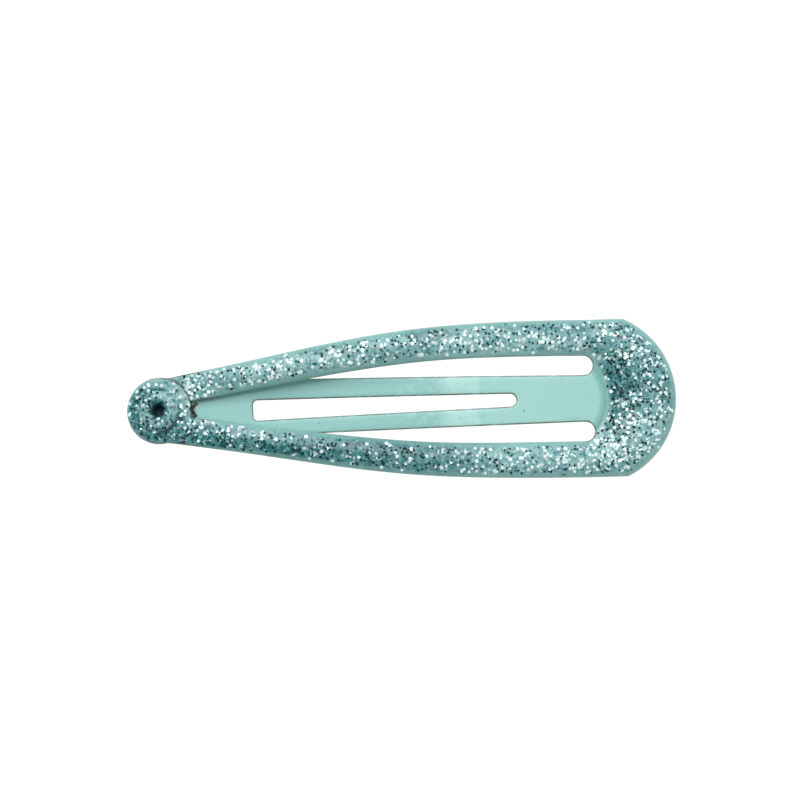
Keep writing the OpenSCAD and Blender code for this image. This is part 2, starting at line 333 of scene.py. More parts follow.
    def set_tongue(self, tongue, eyelet):
        """The tongue's arc and its key places."""
        self.tongue_tip_x = self.lobe_x + eyelet.ring_radius + tongue.eyelet_gap
        tip_z = (self.arch_z(self.tongue_tip_x) - self.lift(self.tongue_tip_x)
                 - self.t - tongue.tip_gap)
        root_z = self.t / 2
        run, drop = self.crease_x - self.tongue_tip_x, tip_z - root_z
        chord = math.hypot(run, drop)
        self.tongue_r = ((chord / 2) ** 2 + tongue.rise ** 2) / (2 * tongue.rise)
        self.tongue_cx = ((self.crease_x + self.tongue_tip_x) / 2
                          - (self.tongue_r - tongue.rise) * drop / chord)
        self.tongue_cz = (tip_z + root_z) / 2 - (self.tongue_r - tongue.rise) * run / chord
        self.ring_r = eyelet.ring_radius
        self.seat_len = tongue.seat_length

    def arch_z(self, x):
        """Height of the sheet's middle surface at the frame's edges."""
        x = np.asarray(x, float)
        up = self.arch - self.tip_arc_r + np.sqrt(
            np.maximum(self.tip_arc_r ** 2 - (x - self.apex_x) ** 2, 0))
        down = self.arch - self.heel_arc_r + np.sqrt(
            np.maximum(self.heel_arc_r ** 2 - (x - self.apex_x) ** 2, 0))
        heel = self.heel_r - np.sqrt(np.maximum(self.heel_r ** 2 - (self.level_x - x) ** 2, 0))
        level = np.where(x < self.level_x, heel, 0.0)
        return self.t / 2 + np.where(x < self.apex_x, up, np.where(x < self.heel_x, down, level))

    def lift(self, x):
        """How far an arm stands off the middle height where the lobes overlap."""
        return self.lobe_lift * (1 - ease((np.asarray(x, float) - self.part_x) / self.part_len))

    def tongue_z(self, x):
        """Middle height of the tongue, which meets the frame's own height along the crease."""
        x = np.asarray(x, float)
        arc = self.tongue_cz + np.sqrt(np.maximum(self.tongue_r ** 2 - (x - self.tongue_cx) ** 2, 0))
        seat = ease((x - self.slot_turn_x) / self.seat_len)
        return arc + seat * (self.arch_z(x) - arc)

    def crown_z(self, plan, outer, inner, shares):
        """Height that the pressed crown adds, for shares of the band from its outer edge."""
        width = np.linalg.norm(outer - inner, axis=-1)[:, None]
        # The ridge runs in the middle of the arms, and nearer the rim round the wide end
        toward_rim = ease((outer[:, :1] - self.heel_x) / (self.end_x - self.heel_x))
        ridge = 0.5 + (self.ridge_share - 0.5) * toward_rim
        k = shares ** (math.log(0.5) / np.log(ridge))
        fade = ease((plan[..., 0] - self.part_x) / self.crown_len)
        past = ease(from_crease(self, plan) / self.crease_soft)
        soft = np.where(plan[..., 0] > self.slot_turn_x, past, 1)
        return self.crown * width * fade * 4 * k * (1 - k) * soft

    def edge_drop(self, depth):
        """How far the paint's rounding lowers the surface at a distance from the edge."""
        d = np.minimum(depth, self.r_edge)
        return self.r_edge - np.sqrt(np.maximum(self.r_edge ** 2 - (self.r_edge - d) ** 2, 0))

    def band(self, shares):
        """Plan points, middle heights without lift and edge distance of the half at +Y."""
        outer, inner = self.outer, self.inner
        plan = outer[:, None] + shares[:, :, None] * (inner - outer)[:, None]
        z = self.arch_z(plan[..., 0]) + self.crown_z(plan, outer, inner, shares)
        return plan, z, distance_to(self.round_edge, plan)

    def edge_shares(self, width, middle):
        """Shares across bands of given widths, with a rounded strip at both edges."""
        zone = np.minimum(self.r_edge, self.widest_edge * width)[:, None] / width[:, None]
        low = (1 - np.cos(np.linspace(0, math.pi / 2, self.edge_steps)))[None] * zone
        mid = zone + np.linspace(0, 1, middle + 2)[None, 1:-1] * (1 - 2 * zone)
        return np.concatenate([low, mid, 1 - low[:, ::-1]], axis=1)


def shape_of(scene):
    """The clip's shape from the scene's own settings."""
    return ClipShape(scene.clip_sheet, scene.clip_tongue, scene.clip_eyelet)


def mesh_object(name, vertices, faces, material, smooth=True):
    """A new mesh object from arrays; edges sharper than 40 degrees stay sharp."""
    mesh = bpy.data.meshes.new(name)
    mesh.from_pydata([tuple(v) for v in vertices], [], faces)
    mesh.update()
    mesh.validate()
    if smooth:
        mesh.shade_smooth()
        mesh.set_sharp_from_angle(angle=math.radians(40))
    mesh.materials.append(material)
    thing = bpy.data.objects.new(name, mesh)
    bpy.context.scene.collection.objects.link(thing)
    return thing


def set_attribute(thing, name, values, domain="POINT"):
    """A number for each vertex or face, which the material reads."""
    layer = thing.data.attributes.new(name, "FLOAT", domain)
    layer.data.foreach_set("value", np.asarray(values, np.float32).ravel())


def plan_of(thing):
    """The vertices' places seen from above."""
    return np.array([v.co[:2] for v in thing.data.vertices])


def full_turn(steps):
    """Angles of a full turn."""
    return np.arange(steps) * 2 * math.pi / steps


def ring_faces(count, ring, closed):
    """Faces of a skin through cross-sections of ring points, with caps where it is open."""
    last = count if closed else count - 1
    faces = []
    for i in range(last):
        a0, b0 = i * ring, (i + 1) % count * ring
        for j in range(ring):
            k = (j + 1) % ring
            faces.append((a0 + j, a0 + k, b0 + k, b0 + j))
    if not closed:
        faces.append(tuple(range(ring - 1, -1, -1)))
        faces.append(tuple((count - 1) * ring + j for j in range(ring)))
    return faces


def skin_rows(plan, z, drop, half_t):
    """Closed cross-sections from a grid of middle heights: upper surface, then the lower one back."""
    top = np.concatenate([plan, (z + half_t - drop)[..., None]], -1)
    low = np.concatenate([plan, (z - half_t + drop)[..., None]], -1)
    return np.concatenate([top, low[:, ::-1]], axis=1)


def evaluated_copy(thing):
    """The object's mesh with its modifiers applied."""
    graph = bpy.context.evaluated_depsgraph_get()
    mesh = bpy.data.meshes.new_from_object(thing.evaluated_get(graph))
    thing.modifiers.clear()
    old = thing.data
    thing.data = mesh
    bpy.data.meshes.remove(old)
    mesh.name = thing.name


def lobe_axis(shape):
    """The eyelet's own frame: its origin in the middle of the stack, its Z along the bore."""
    spot = Vector((shape.lobe_x, 0.0, float(shape.arch_z(shape.lobe_x))))
    return Matrix.Translation(spot) @ Matrix.Rotation(-shape.lobe_tilt, 4, "Y")


def cut_bore(thing, shape, radius):
    """Takes the eyelet's bore out of both lobes."""
    around, reach = 48, 3 * shape.lobe_lift
    ring = polar(0, radius, full_turn(around))
    points = [(x, y, h) for h in (-reach, reach) for x, y in ring]
    faces = ring_faces(2, around, False)
    cutter = mesh_object("bore_cutter", points, faces, thing.data.materials[0], smooth=False)
    cutter.matrix_world = lobe_axis(shape)
    cut = thing.modifiers.new("bore", "BOOLEAN")
    cut.object, cut.operation, cut.solver = cutter, "DIFFERENCE", "EXACT"
    bpy.context.view_layer.update()
    before = len(thing.data.vertices)
    evaluated_copy(thing)
    bpy.data.objects.remove(cutter)
    if len(thing.data.vertices) == before:
        raise RuntimeError("The eyelet's bore wasn't cut")


# Bare rims that the glitter coat leaves: at the lobes, then what the arms' outer edge, the round
# end and the slots' edge have more, and along the crease
LOBE_RIM, ARM_RIM, END_RIM, SLOT_RIM, CREASE_RIM = np.array([0.2, 0.2, 0.16, 0.3, 0.19]) * MM
# Thickness of the glitter coat, which also carries painted shade: everywhere, more as painted
# shade on the -Y arm away from the lights, darker again at the wide end, and at most
COAT_THIN, LOW_ARM_SHADE, WIDE_END_DARKER, COAT_THICKEST = 0.3, 0.6, 0.12, 1.45


def past_rim(depth, rim, start, soft):
    """0 up to start rims from an edge, and 1 from soft rims further in."""
    return ease((depth - start * rim) / (soft * rim))


def coat_cover(shape, plan):
    """How fully the glitter coat covers plan points: 0 on the bare rims, 1 inside."""
    half = np.stack([plan[..., 0], np.abs(plan[..., 1])], -1)
    x, steps = half[..., 0], shape.crease_steps
    from_lobe = ease((x - shape.part_x) / (2.5 * shape.lobe_r))
    round_end = ease((x - shape.slot_turn_x) / (shape.end_x - shape.slot_turn_x))
    rim = LOBE_RIM + ARM_RIM * from_lobe + END_RIM * round_end
    slot = LOBE_RIM + SLOT_RIM * from_lobe
    outer = past_rim(distance_to(shape.outer, half), rim, 0.6, 0.8)
    inner = past_rim(distance_to(shape.inner[steps:], half), slot, 0.5, 0.9)
    root = past_rim(distance_to(shape.inner[:steps + 1], half), CREASE_RIM, 1.0, 2.6)
    return outer * inner * root


# Spots of painted shade (more thickness) and of painted highlight (less), in part also where the coat
# has pooled or run thin: middle and half sizes (mm), and the thickness that this adds, half of it at the
# half size
POOL_AND_SHADE_SPOTS = (((-22.9, -0.7), (2.7, 2.9), 1.0), ((-18.0, -3.4), (3.2, 1.6), 0.7),
         ((20.1, 0.4), (1.7, 3.8), 0.8), ((18.6, 5.2), (2.0, 1.2), 0.1),
         ((-20.2, 1.6), (1.5, 1.5), -0.7), ((21.8, -2.6), (2.0, 3.0), -0.6),
         ((-12.0, 4.0), (7.0, 1.2), -0.5), ((14.0, -4.8), (5.0, 1.5), -0.7),
         ((10.0, 4.6), (7.0, 1.5), -0.5), ((-1.0, -3.8), (9.0, 1.0), 0.45),
         ((-20.7, -2.5), (1.5, 1.2), 1.0), ((-11.5, -4.4), (2.0, 1.0), 0.4),
         ((22.4, -0.2), (2.0, 1.8), 0.4), ((20.6, -6.0), (2.0, 1.2), -1.0),
         ((2.3, 6.0), (2.0, 1.0), 0.6), ((11.5, 6.3), (7.0, 0.9), 0.2),
         ((-21.5, 2.5), (2.6, 0.9), -0.6), ((-11.0, 4.9), (7.0, 0.6), 0.6))
# The torn paint in the crotch of the arms runs along this line, as far as this to either side
CHIP_LINE = np.array([(-18.52, 0.68), (-18.98, 0.2), (-19.08, 0.0), (-18.7, -0.62)]) * MM
CHIP_REACH = 0.16 * MM
# Tones of the flakes, from bright to dark
TONES = ("silver", "teal", "deep")
# Share of the bright and of the dark flakes in a thin coat, and what a pooled one and its painted shade
# add
SILVER_SHARE, DEEP_SHARE = (0.39, -0.23), (0.2, 0.28)
# Where on the -Y arm the one green flake lies
GREEN_FLAKE = np.array([9.3, -4.5]) * MM
# Dark specks in the tongue's enamel, and their radii
SPECKS = np.array([(11.06, -1.0, 0.09), (5.2, -1.5, 0.06), (-7.5, -1.58, 0.06),
                   (16.4, 1.3, 0.04), (14.2, -1.2, 0.04), (-14.9, 0.6, 0.05)]) * MM


def pooled_and_shaded(shape, plan):
    """Thickness of the glitter coat at plan points, with painted shade and painted highlight in it: 0
    thin, 1 pooled, more in the deepest spots.
    """
    # Where each stretch with more or less of the coat and its painted shade ends or starts, and the way
    # over which it fades
    arm_to, arm_fade, arm_side = 9 * MM, 7 * MM, 2 * MM
    middle, middle_fade = 0.12 * shape.width, 1.6 * MM
    wide_from, wide_fade = 16 * MM, 2 * MM
    crease_rim, crease_fade, by_crease = 0.1 * MM, 0.8 * MM, 0.65
    x, y = plan[..., 0], plan[..., 1]
    low_arm = ease(-y / arm_side) * ease((arm_to - x) / arm_fade)
    off_middle = ease((np.abs(y) - middle) / middle_fade)
    wide_end = ease((x - wide_from) / wide_fade)
    # Painted shade on the -Y arm off the middle, and darker at the wide end
    thick_and_shaded = COAT_THIN + LOW_ARM_SHADE * low_arm * off_middle + WIDE_END_DARKER * wide_end
    # Spots of painted shade and of painted highlight
    for centre, size, strength in POOL_AND_SHADE_SPOTS:
        away = np.hypot((x / MM - centre[0]) / size[0], (y / MM - centre[1]) / size[1])
        thick_and_shaded = thick_and_shaded + strength * ease(1.5 - away)
    # Beside the crease the coat and its painted shade keep only a share
    past_crease = ease((from_crease(shape, plan) - crease_rim) / crease_fade)
    crease_share = np.where(x > shape.slot_turn_x, by_crease + (1 - by_crease) * past_crease, 1)
    return np.clip(thick_and_shaded, 0, COAT_THICKEST) * crease_share


def from_crease(shape, plan):
    """Distance from the crease's arc, less than 0 on the tongue's side."""
    return np.hypot(plan[..., 0] - shape.crease_cx, plan[..., 1]) - shape.crease_r


def about_lobe(shape, plan):
    """Plan points seen from the lobes' middle: X, Y and distance."""
    x, y = plan[..., 0] - shape.lobe_x, plan[..., 1]
    return x, y, np.hypot(x, y)


def ring_foot(shape, plan):
    """Nearness to the foot of the eyelet's ring on the arms' side, where painted shade darkens the
    crevice.
    """
    foot, reach = 0.1 * MM, 0.22 * MM
    x, y, away = about_lobe(shape, plan)
    close = ease(1 - np.abs(away - shape.ring_r - foot) / reach)
    return close * ease(0.6 + 0.5 * (x + 0.5 * y) / shape.ring_r)


def lobe_seam(shape, plan):
    """Nearness to the upper lobe's rim where it lies over the other arm."""
    reach, from_y = 0.3 * MM, 0.1 * shape.lobe_r
    x, y, away = about_lobe(shape, plan)
    close = ease(1 - np.abs(away - shape.lobe_r) / reach)
    return close * ((x > 0) & (y > from_y))


def chipped(plan):
    """Nearness to the torn paint in the crotch of the arms, 1 in its middle."""
    return np.clip(1 - 0.5 * distance_to(CHIP_LINE, plan) / CHIP_REACH, 0, 1)


def hex_stops(table):
    """Stops of a colour ramp from places and hex colours."""
    return [(place, linear(colour)) for place, colour in table]


class Nodes:
    """Shorthand for wiring a material."""

    def __init__(self, name):
        self.material = bpy.data.materials.new(name)
        self.material.use_nodes = True
        self.tree = self.material.node_tree
        self.shader = self.tree.nodes["Principled BSDF"]

    def node(self, kind, **settings):
        """A new node with the given settings."""
        made = self.tree.nodes.new(kind)
        for key, value in settings.items():
            setattr(made, key, value)
        return made

    def join(self, source, target):
        """A link from one socket to another."""
        self.tree.links.new(source, target)

    def attribute(self, name):
        """A number that the mesh carries."""
        return self.node("ShaderNodeAttribute", attribute_name=name).outputs["Fac"]

    def place(self, offset=(0, 0, 0)):
        """Object coordinates, shifted so that two layers of one pattern don't line up."""
        where = self.node("ShaderNodeTexCoord").outputs["Object"]
        if not any(offset):
            return where
        shift = self.node("ShaderNodeVectorMath", operation="ADD")
        shift.inputs[1].default_value = offset
        self.join(where, shift.inputs[0])
        return shift.outputs[0]

    def noise(self, per_metre, detail=3.0, roughness=0.55, offset=(0, 0, 0)):
        """Cloudy noise from 0 to 1, with so many features per metre."""
        made = self.node("ShaderNodeTexNoise")
        made.inputs["Scale"].default_value = per_metre
        made.inputs["Detail"].default_value = detail
        made.inputs["Roughness"].default_value = roughness
        self.join(self.place(offset), made.inputs["Vector"])
        return made.outputs["Fac"]

    def cells(self, per_metre, offset=(0, 0, 0)):
        """Distance from the middle of each cell, and the cell's own random colour."""
        made = self.node("ShaderNodeTexVoronoi")
        made.inputs["Scale"].default_value = per_metre
        self.join(self.place(offset), made.inputs["Vector"])
        return made.outputs["Distance"], made.outputs["Color"]

    def between(self, value, low, high, out_low=0.0, out_high=1.0):
        """A value's way from low to high, clamped and eased."""
        made = self.node("ShaderNodeMapRange", interpolation_type="SMOOTHSTEP")
        for name, number in (("From Min", low), ("From Max", high),
                             ("To Min", out_low), ("To Max", out_high)):
            made.inputs[name].default_value = number
        self.join(value, made.inputs["Value"])
        return made.outputs["Result"]

    def bare_patch(self):
        """Jagged share of bare steel where the chip attribute is high."""
        jags = self.noise(2600, 5.0, 0.7, (0.004, 0, 0))
        return self.between(self.total(self.attribute("chip"), jags), 1.0, 1.08)

    def product(self, a, b):
        """Two values multiplied."""
        return self.arithmetic("MULTIPLY", a, b)

    def total(self, a, b):
        """Two values added."""
        return self.arithmetic("ADD", a, b)

    def arithmetic(self, operation, a, b):
        """One operation on two values, each a number or a socket."""
        made = self.node("ShaderNodeMath", operation=operation)
        for socket, value in zip(made.inputs, (a, b)):
            if isinstance(value, (int, float)):
                socket.default_value = value
            else:
                self.join(value, socket)
        return made.outputs[0]

    def ramp(self, value, stops, stepped=False):
        """A colour ramp with the given (place, colour) stops."""
        made = self.node("ShaderNodeValToRGB")
        ramp = made.color_ramp
        ramp.interpolation = "CONSTANT" if stepped else "LINEAR"
        ramp.elements.remove(ramp.elements[1])
        ramp.elements[0].position = stops[0][0]
        ramp.elements[0].color = (*stops[0][1][:3], 1.0)
        for place, colour in stops[1:]:
            ramp.elements.new(place).color = (*colour[:3], 1.0)
        self.join(value, made.inputs["Fac"])
        return made.outputs["Color"]

    def mix(self, factor, a, b, blend="MIX"):
        """Two colours mixed by a factor, each a colour or a socket."""
        made = self.node("ShaderNodeMix", data_type="RGBA", blend_type=blend)
        for name, value in (("Factor", factor), ("A", a), ("B", b)):
            socket = [s for s in made.inputs if s.name == name and s.enabled][0]
            if isinstance(value, (int, float)):
                socket.default_value = value
            elif isinstance(value, bpy.types.NodeSocket):
                self.join(value, socket)
            else:
                socket.default_value = (*value[:3], 1.0)
        return [s for s in made.outputs if s.enabled][0]

    def bump(self, height, distance, strength):
        """Small relief: a height of 1 stands this distance proud."""
        made = self.node("ShaderNodeBump")
        made.inputs["Strength"].default_value = strength
        made.inputs["Distance"].default_value = distance
        self.join(height, made.inputs["Height"])
        self.join(made.outputs["Normal"], self.shader.inputs["Normal"])

    def set(self, **sockets):
        """Plain values on the shader's own sockets, spaces written as underscores."""
        for name, value in sockets.items():
            self.shader.inputs[name.replace("_", " ")].default_value = value

    def colour(self, source):
        """Feeds the shader's colour."""
        self.join(source, self.shader.inputs["Base Color"])

    def gloss(self, per_metre, detail, smoothest, roughest):
        """A roughness that wanders between two values, as on a handled surface."""
        wander = self.between(self.noise(per_metre, detail), 0.3, 0.7, smoothest, roughest)
        self.join(wander, self.shader.inputs["Roughness"])


# Layers of flakes sunk in the coat: cells per metre, offset, strength
SUNK_LAYERS = ((3400, (0, 0, 0), 0.6), (2900, (0.013, 0.007, 0.003), 0.75))
# How far from its cell's middle such a flake ends, and up to where it is full
SUNK_RIM = (0.52, 0.38)
# Their colours, and from which share of the flakes on each holds
SUNK_TONES = ((0.0, "#0c454a"), (0.22, "#2b6d73"), (0.44, "#57999c"), (0.64, "#8fc4c3"),
              (0.8, "#c6e2e1"), (0.9, "#f4fbfb"))
# Painted shade of the tongue's enamel on its way into the bend at the crease
FOLD_PAINTED_SHADES = ((0.0, "#ffffff"), (0.1, "#ffffff"), (0.28, "#f1f5f5"), (0.42, "#dde9e9"),
               (0.7, "#cadcdc"), (0.97, "#b4cbcc"))
# Bands across the tongue's enamel, painted shade on its left part and a painted highlight, partly rubbed
# paint, where it bends: from and to along X (mm), and colour
ENAMEL_SHADE_BANDS = ((-24, 3.3, "mint_grey"), (4.3, 6.9, "mint_pale"), (7.1, 19, "mint"))
# At either end of its streaky rubbed stretch: where along X that has faded out, and where it is full
RUBBED_FROM, RUBBED_TO = (-0.6 * MM, -0.2 * MM), (4.4 * MM, 3.4 * MM)


def glitter_coat(scene):
    """Mint enamel under a clear coat in which flakes lie at many depths, darkened by painted shade where
    the coat is marked as pooled.
    """
    look = scene.clip_paint
    # Patterns, in features per metre
    clouds, drifts, blots, sheen, grain = 650, 1700, 1500, 1400, 1100
    m = Nodes("glitter_coat")
    cover, pool = m.attribute("cover"), m.attribute("pool")
    ground = m.ramp(m.noise(clouds, 4.0), [(0.3, look.mint_cloud), (0.6, look.mint_deep)])
    # Pale haze over the glitter: fine silver, and in part painted sheen of the coat
    colour = m.mix(m.product(cover, 0.8), ground, look.coat)
    # Painted shade: the pooled coat's teal, broken up by noise
    shade_drift = m.product(pool, m.between(m.noise(drifts, 3.0), 0.3, 0.7, 0.6, 1.2))
    reach = m.between(cover, 0.0, 1.0, 0.35, 0.85)
    colour = m.mix(m.product(reach, shade_drift), colour, look.pool)
    # Dark blots, more of them where the painted shade lies
    blot = m.between(m.noise(blots, 4.0, 0.6, (0.01, 0, 0)), 0.5, 0.62)
    often = m.between(pool, 0.0, 1.0, 0.35, 1.0)
    colour = m.mix(m.product(m.product(blot, often), m.product(cover, 0.75)), colour, look.blot)
    for per_metre, offset, strength in SUNK_LAYERS:
        far, tint = m.cells(per_metre, offset)
        disc = m.between(far, *SUNK_RIM)
        tone = m.node("ShaderNodeSeparateColor")
        m.join(tint, tone.inputs["Color"])
        sunk = m.ramp(tone.outputs["Red"], hex_stops(SUNK_TONES), stepped=True)
        depth = m.between(tone.outputs["Green"], 0.0, 1.0, 0.25, 1.0)
        factor = m.product(m.product(disc, cover), m.product(depth, strength))
        colour = m.mix(factor, colour, sunk)
    # Painted shade, deepest in the crevices at the eyelet and along the seam
    colour = m.mix(m.between(pool, 1.3, 2.0, 0.0, 0.85), colour, look.crevice_shade)
    bare = m.bare_patch()
    m.colour(m.mix(bare, colour, look.bare))
    m.gloss(sheen, 3.0, 0.3, 0.42)
    m.set(Coat_Weight=0.2, Coat_Roughness=0.2, Specular_IOR_Level=0.45)
    # The coat's own grain, and a step down to the bare steel
    grainy = m.noise(grain, 3.0, 0.5, (0.002, 0.004, 0))
    m.bump(m.total(grainy, m.product(bare, -0.8)), 0.05 * MM, 0.5)
    return m.material


def smooth_enamel(scene):
    """Plain enamel of the tongue, smudged and rubbed across by the forming tool, with painted shade and
    a painted highlight along it and at the crease.
    """
    look, shape = scene.clip_paint, shape_of(scene)
    # Patterns, in features per metre
    smudges, streaks, grain, dust, sheen, ripple = 420, 1300, 5200, 7000, 900, 2400
    m = Nodes("smooth_enamel")
    where = m.node("ShaderNodeSeparateXYZ")
    m.join(m.place(), where.inputs[0])
    x = where.outputs["X"]
    along = m.between(x, shape.tip_x, shape.end_x)
    along.node.interpolation_type = "LINEAR"
    # Painted shade over the left part, a painted highlight where the tongue bends, partly rubbed, then
    # plain mint
    shade_bands = m.ramp(along, [
        ((x_mm * MM - shape.tip_x) / (shape.end_x - shape.tip_x), getattr(look, name))
        for start, end, name in ENAMEL_SHADE_BANDS for x_mm in (start, end)])
    smudge = m.mix(m.between(m.noise(smudges, 4.0), 0.52, 0.8, 0.0, 0.6), shade_bands, look.mint_grey)
    rubbed = m.product(m.between(x, *RUBBED_FROM), m.between(x, *RUBBED_TO))
    streaky = m.between(m.noise(streaks, 5.0, 0.65, (0.03, 0, 0)), 0.48, 0.62)
    colour = m.mix(m.product(m.product(streaky, rubbed), 0.4), smudge, look.mint_pale)
    grainy = m.between(m.noise(grain, 2.0, 0.7), 0.35, 0.65)
    colour = m.mix(m.product(grainy, 0.28), colour, look.mint_grey)
    colour = m.mix(m.between(m.noise(dust, 2.0, 0.6), 0.62, 0.74, 0.0, 0.22), colour, look.edge)
    # Painted shade into the bend at the crease
    fold_shading = m.ramp(m.attribute("fold_shade"), hex_stops(FOLD_PAINTED_SHADES))
    colour = m.mix(1.0, colour, fold_shading, "MULTIPLY")
    m.colour(m.mix(m.bare_patch(), colour, look.bare))
    m.gloss(sheen, 3.0, 0.36, 0.5)
    m.set(Coat_Weight=0.15, Coat_Roughness=0.25, Specular_IOR_Level=0.5)
    m.bump(m.noise(ripple, 4.0, 0.6), 0.012 * MM, 0.6)
    return m.material


def cut_steel(scene):
    """Sheared sheet edge: dull steel that shows brownish through thin paint."""
    look = scene.clip_paint
    # Patterns, in features per metre
    patches, sheen, burrs = 900, 5000, 6000
    m = Nodes("cut_steel")
    thin = m.ramp(m.noise(patches, 4.0, 0.6),
                  [(0.3, look.mint_grey), (0.5, look.edge), (0.72, look.edge_brown)])
    m.colour(m.mix(m.bare_patch(), thin, look.bare))
    m.gloss(sheen, 2.0, 0.42, 0.6)
    m.set(Metallic=0.2, Specular_IOR_Level=0.5)
    m.bump(m.noise(burrs, 2.0), 0.008 * MM, 0.5)
    return m.material


def dark_grain(scene):
    """Grit in the enamel."""
    look = scene.clip_paint
    # Pattern, in features per metre
    speckle = 20000
    m = Nodes("dark_grain")
    m.colour(m.ramp(m.noise(speckle, 2.0), [(0.3, look.bare), (0.7, look.pool)]))
    m.set(Roughness=0.5)
    return m.material


def flake_foil(name, light, dark, metallic, rough, gloss):
    """Foil of one tone of glitter; each flake has its own shade of it."""
    # Pattern, in features per metre
    sheen = 9000
    m = Nodes(name)
    m.colour(m.ramp(m.attribute("tone"), [(0.0, dark), (1.0, light)]))
    m.gloss(sheen, 2.0, rough, rough + 0.12)
    m.set(Metallic=metallic, Specular_IOR_Level=0.3, Coat_Weight=gloss, Coat_Roughness=0.15)
    return m.material


def finish(scene, name):
    """The material of that name, made the first time that a piece asks for it."""
    found = bpy.data.materials.get(name)
    if found:
        return found
    makers = {"glitter_coat": glitter_coat, "smooth_enamel": smooth_enamel,
              "cut_steel": cut_steel, "dark_grain": dark_grain}
    if name in makers:
        return makers[name](scene)
    glitter = scene.clip_glitter
    # Each foil's lightest and darkest shade, metallic share, roughness and clear gloss
    foils = {"silver_foil": (glitter.silver, glitter.silver_dim, 0.1, 0.3, 0.3),
             "teal_foil": (glitter.teal_pale, glitter.teal, 0.1, 0.35, 0.12),
             "deep_foil": (glitter.deep, glitter.deep_dark, 0.05, 0.5, 0.0),
             "green_foil": (glitter.green, glitter.green, 0.1, 0.4, 0.1)}
    return flake_foil(name, *foils[name])


class HAIR_CLIP_OT_paint_frame(bpy.types.Operator):
    """Paint the sheet's frame: both arms, the wide end and the two lobes"""

    bl_idname = "hair_clip.paint_frame"
    bl_label = "Painted Frame"

    def execute(self, context):
        shape, between_edges = shape_of(context.scene), 14
        width = np.linalg.norm(shape.outer - shape.inner, axis=1)
        plan, z, depth = shape.band(shape.edge_shares(width, between_edges))
        drop, lift = shape.edge_drop(depth), shape.lift(plan[..., 0])
        low_arm, high_arm = (skin_rows(plan * [1, side], z - side * lift, drop, shape.t / 2)
                             for side in (-1, 1))
        rows = np.concatenate([low_arm[:0:-1], high_arm])
        count, ring = rows.shape[:2]
        thing = mesh_object("painted_frame", rows.reshape(-1, 3),
                            ring_faces(count, ring, False), finish(context.scene, "glitter_coat"))
        eyelet = context.scene.clip_eyelet
        cut_bore(thing, shape, eyelet.hole_radius + eyelet.wall + shape.seat_gap)
        paint_cover(thing, shape)
        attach(thing, "frame")
        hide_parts("frame")
        return {"FINISHED"}


def paint_cover(thing, shape):
    """Writes where the glitter coat lies, its thickness with painted shade in it, and where the enamel
    has chipped at the crotch.
    """
    # Painted shade in the crevices, written as coat thickness: at the ring's foot and along the lobe's
    # seam
    foot_shade, seam_shade = 1.8, 1.7
    plan = plan_of(thing)
    upward = np.array([v.normal.z for v in thing.data.vertices])
    set_attribute(thing, "cover", coat_cover(shape, plan) * ease((upward + 0.1) / 0.5))
    crevice_shade = foot_shade * ring_foot(shape, plan) + seam_shade * lobe_seam(shape, plan) ** 2
    set_attribute(thing, "pool", pooled_and_shaded(shape, plan) + crevice_shade)
    set_attribute(thing, "chip", chipped(plan))


class HAIR_CLIP_OT_paint_tongue(bpy.types.Operator):
    """Paint the slotted tongue that bends along the crease"""

    bl_idname = "hair_clip.paint_tongue"
    bl_label = "Painted Tongue"

    def execute(self, context):
        shape, sizes = shape_of(context.scene), context.scene.clip_tongue
        outer, slot = tongue_line(shape, sizes), slot_line(shape, sizes)
        free = tongue_free_edge(shape, outer)
        thing = plate("painted_tongue", shape, [outer, slot], free, shape.tongue_z,
                      finish(context.scene, "smooth_enamel"))
        plan, fold_shade_reach = plan_of(thing), 0.8 * MM
        set_attribute(thing, "chip", tip_wear_and_shadow(shape, plan))
        # Painted shade that deepens over the last stretch before the crease
        near = plan[:, 0] > shape.crease_cx
        set_attribute(thing, "fold_shade", near * (1 + from_crease(shape, plan) / fold_shade_reach))
        bend_at_crease(thing, shape)
        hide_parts("tongue")
        return {"FINISHED"}


def shares(steps):
    """Shares from 0 to just short of 1."""
    return np.linspace(0, 1, steps)[:-1]


def both_halves(pieces):
    """A closed loop from the stretches of its half at +Y, which starts and ends on the middle line."""
    half = np.concatenate(pieces)
    return np.concatenate([half, half[-2:0:-1] * [1, -1]])


def tongue_line(shape, sizes):
    """The tongue's outer edge as a closed loop, from the crease's middle on."""
    # The tongue laps a little over the frame, so that no light shows along the crease
    lap, quarter = 0.05 * MM, math.pi / 2
    crease_steps, fillet_steps, side_steps, shoulder_steps = 24, 14, 150, 80
    crease = polar(shape.crease_cx, shape.crease_r + lap, shape.crease_turn * shares(crease_steps))
    fillet = polar(shape.slot_turn_x, shape.slot_end_r,
                   -quarter * shares(fillet_steps), shape.slot_end_y)
    wide_x = shape.tip_x + sizes.wide_at
    root = np.array([shape.slot_turn_x, sizes.root_width / 2])
    wide = np.array([wide_x, sizes.width / 2])
    side = root + shares(side_steps)[:, None] * (wide - root)
    pull = shape.shoulder_pull * (shape.tongue_tip_x - wide_x)
    shoulder = bezier(wide, wide + [pull, 0],
                      [shape.tongue_tip_x, shape.tip_bluntness * sizes.width / 2],
                      [shape.tongue_tip_x, 0], np.linspace(0, 1, shoulder_steps))
    return both_halves([crease, fillet, side, shoulder])


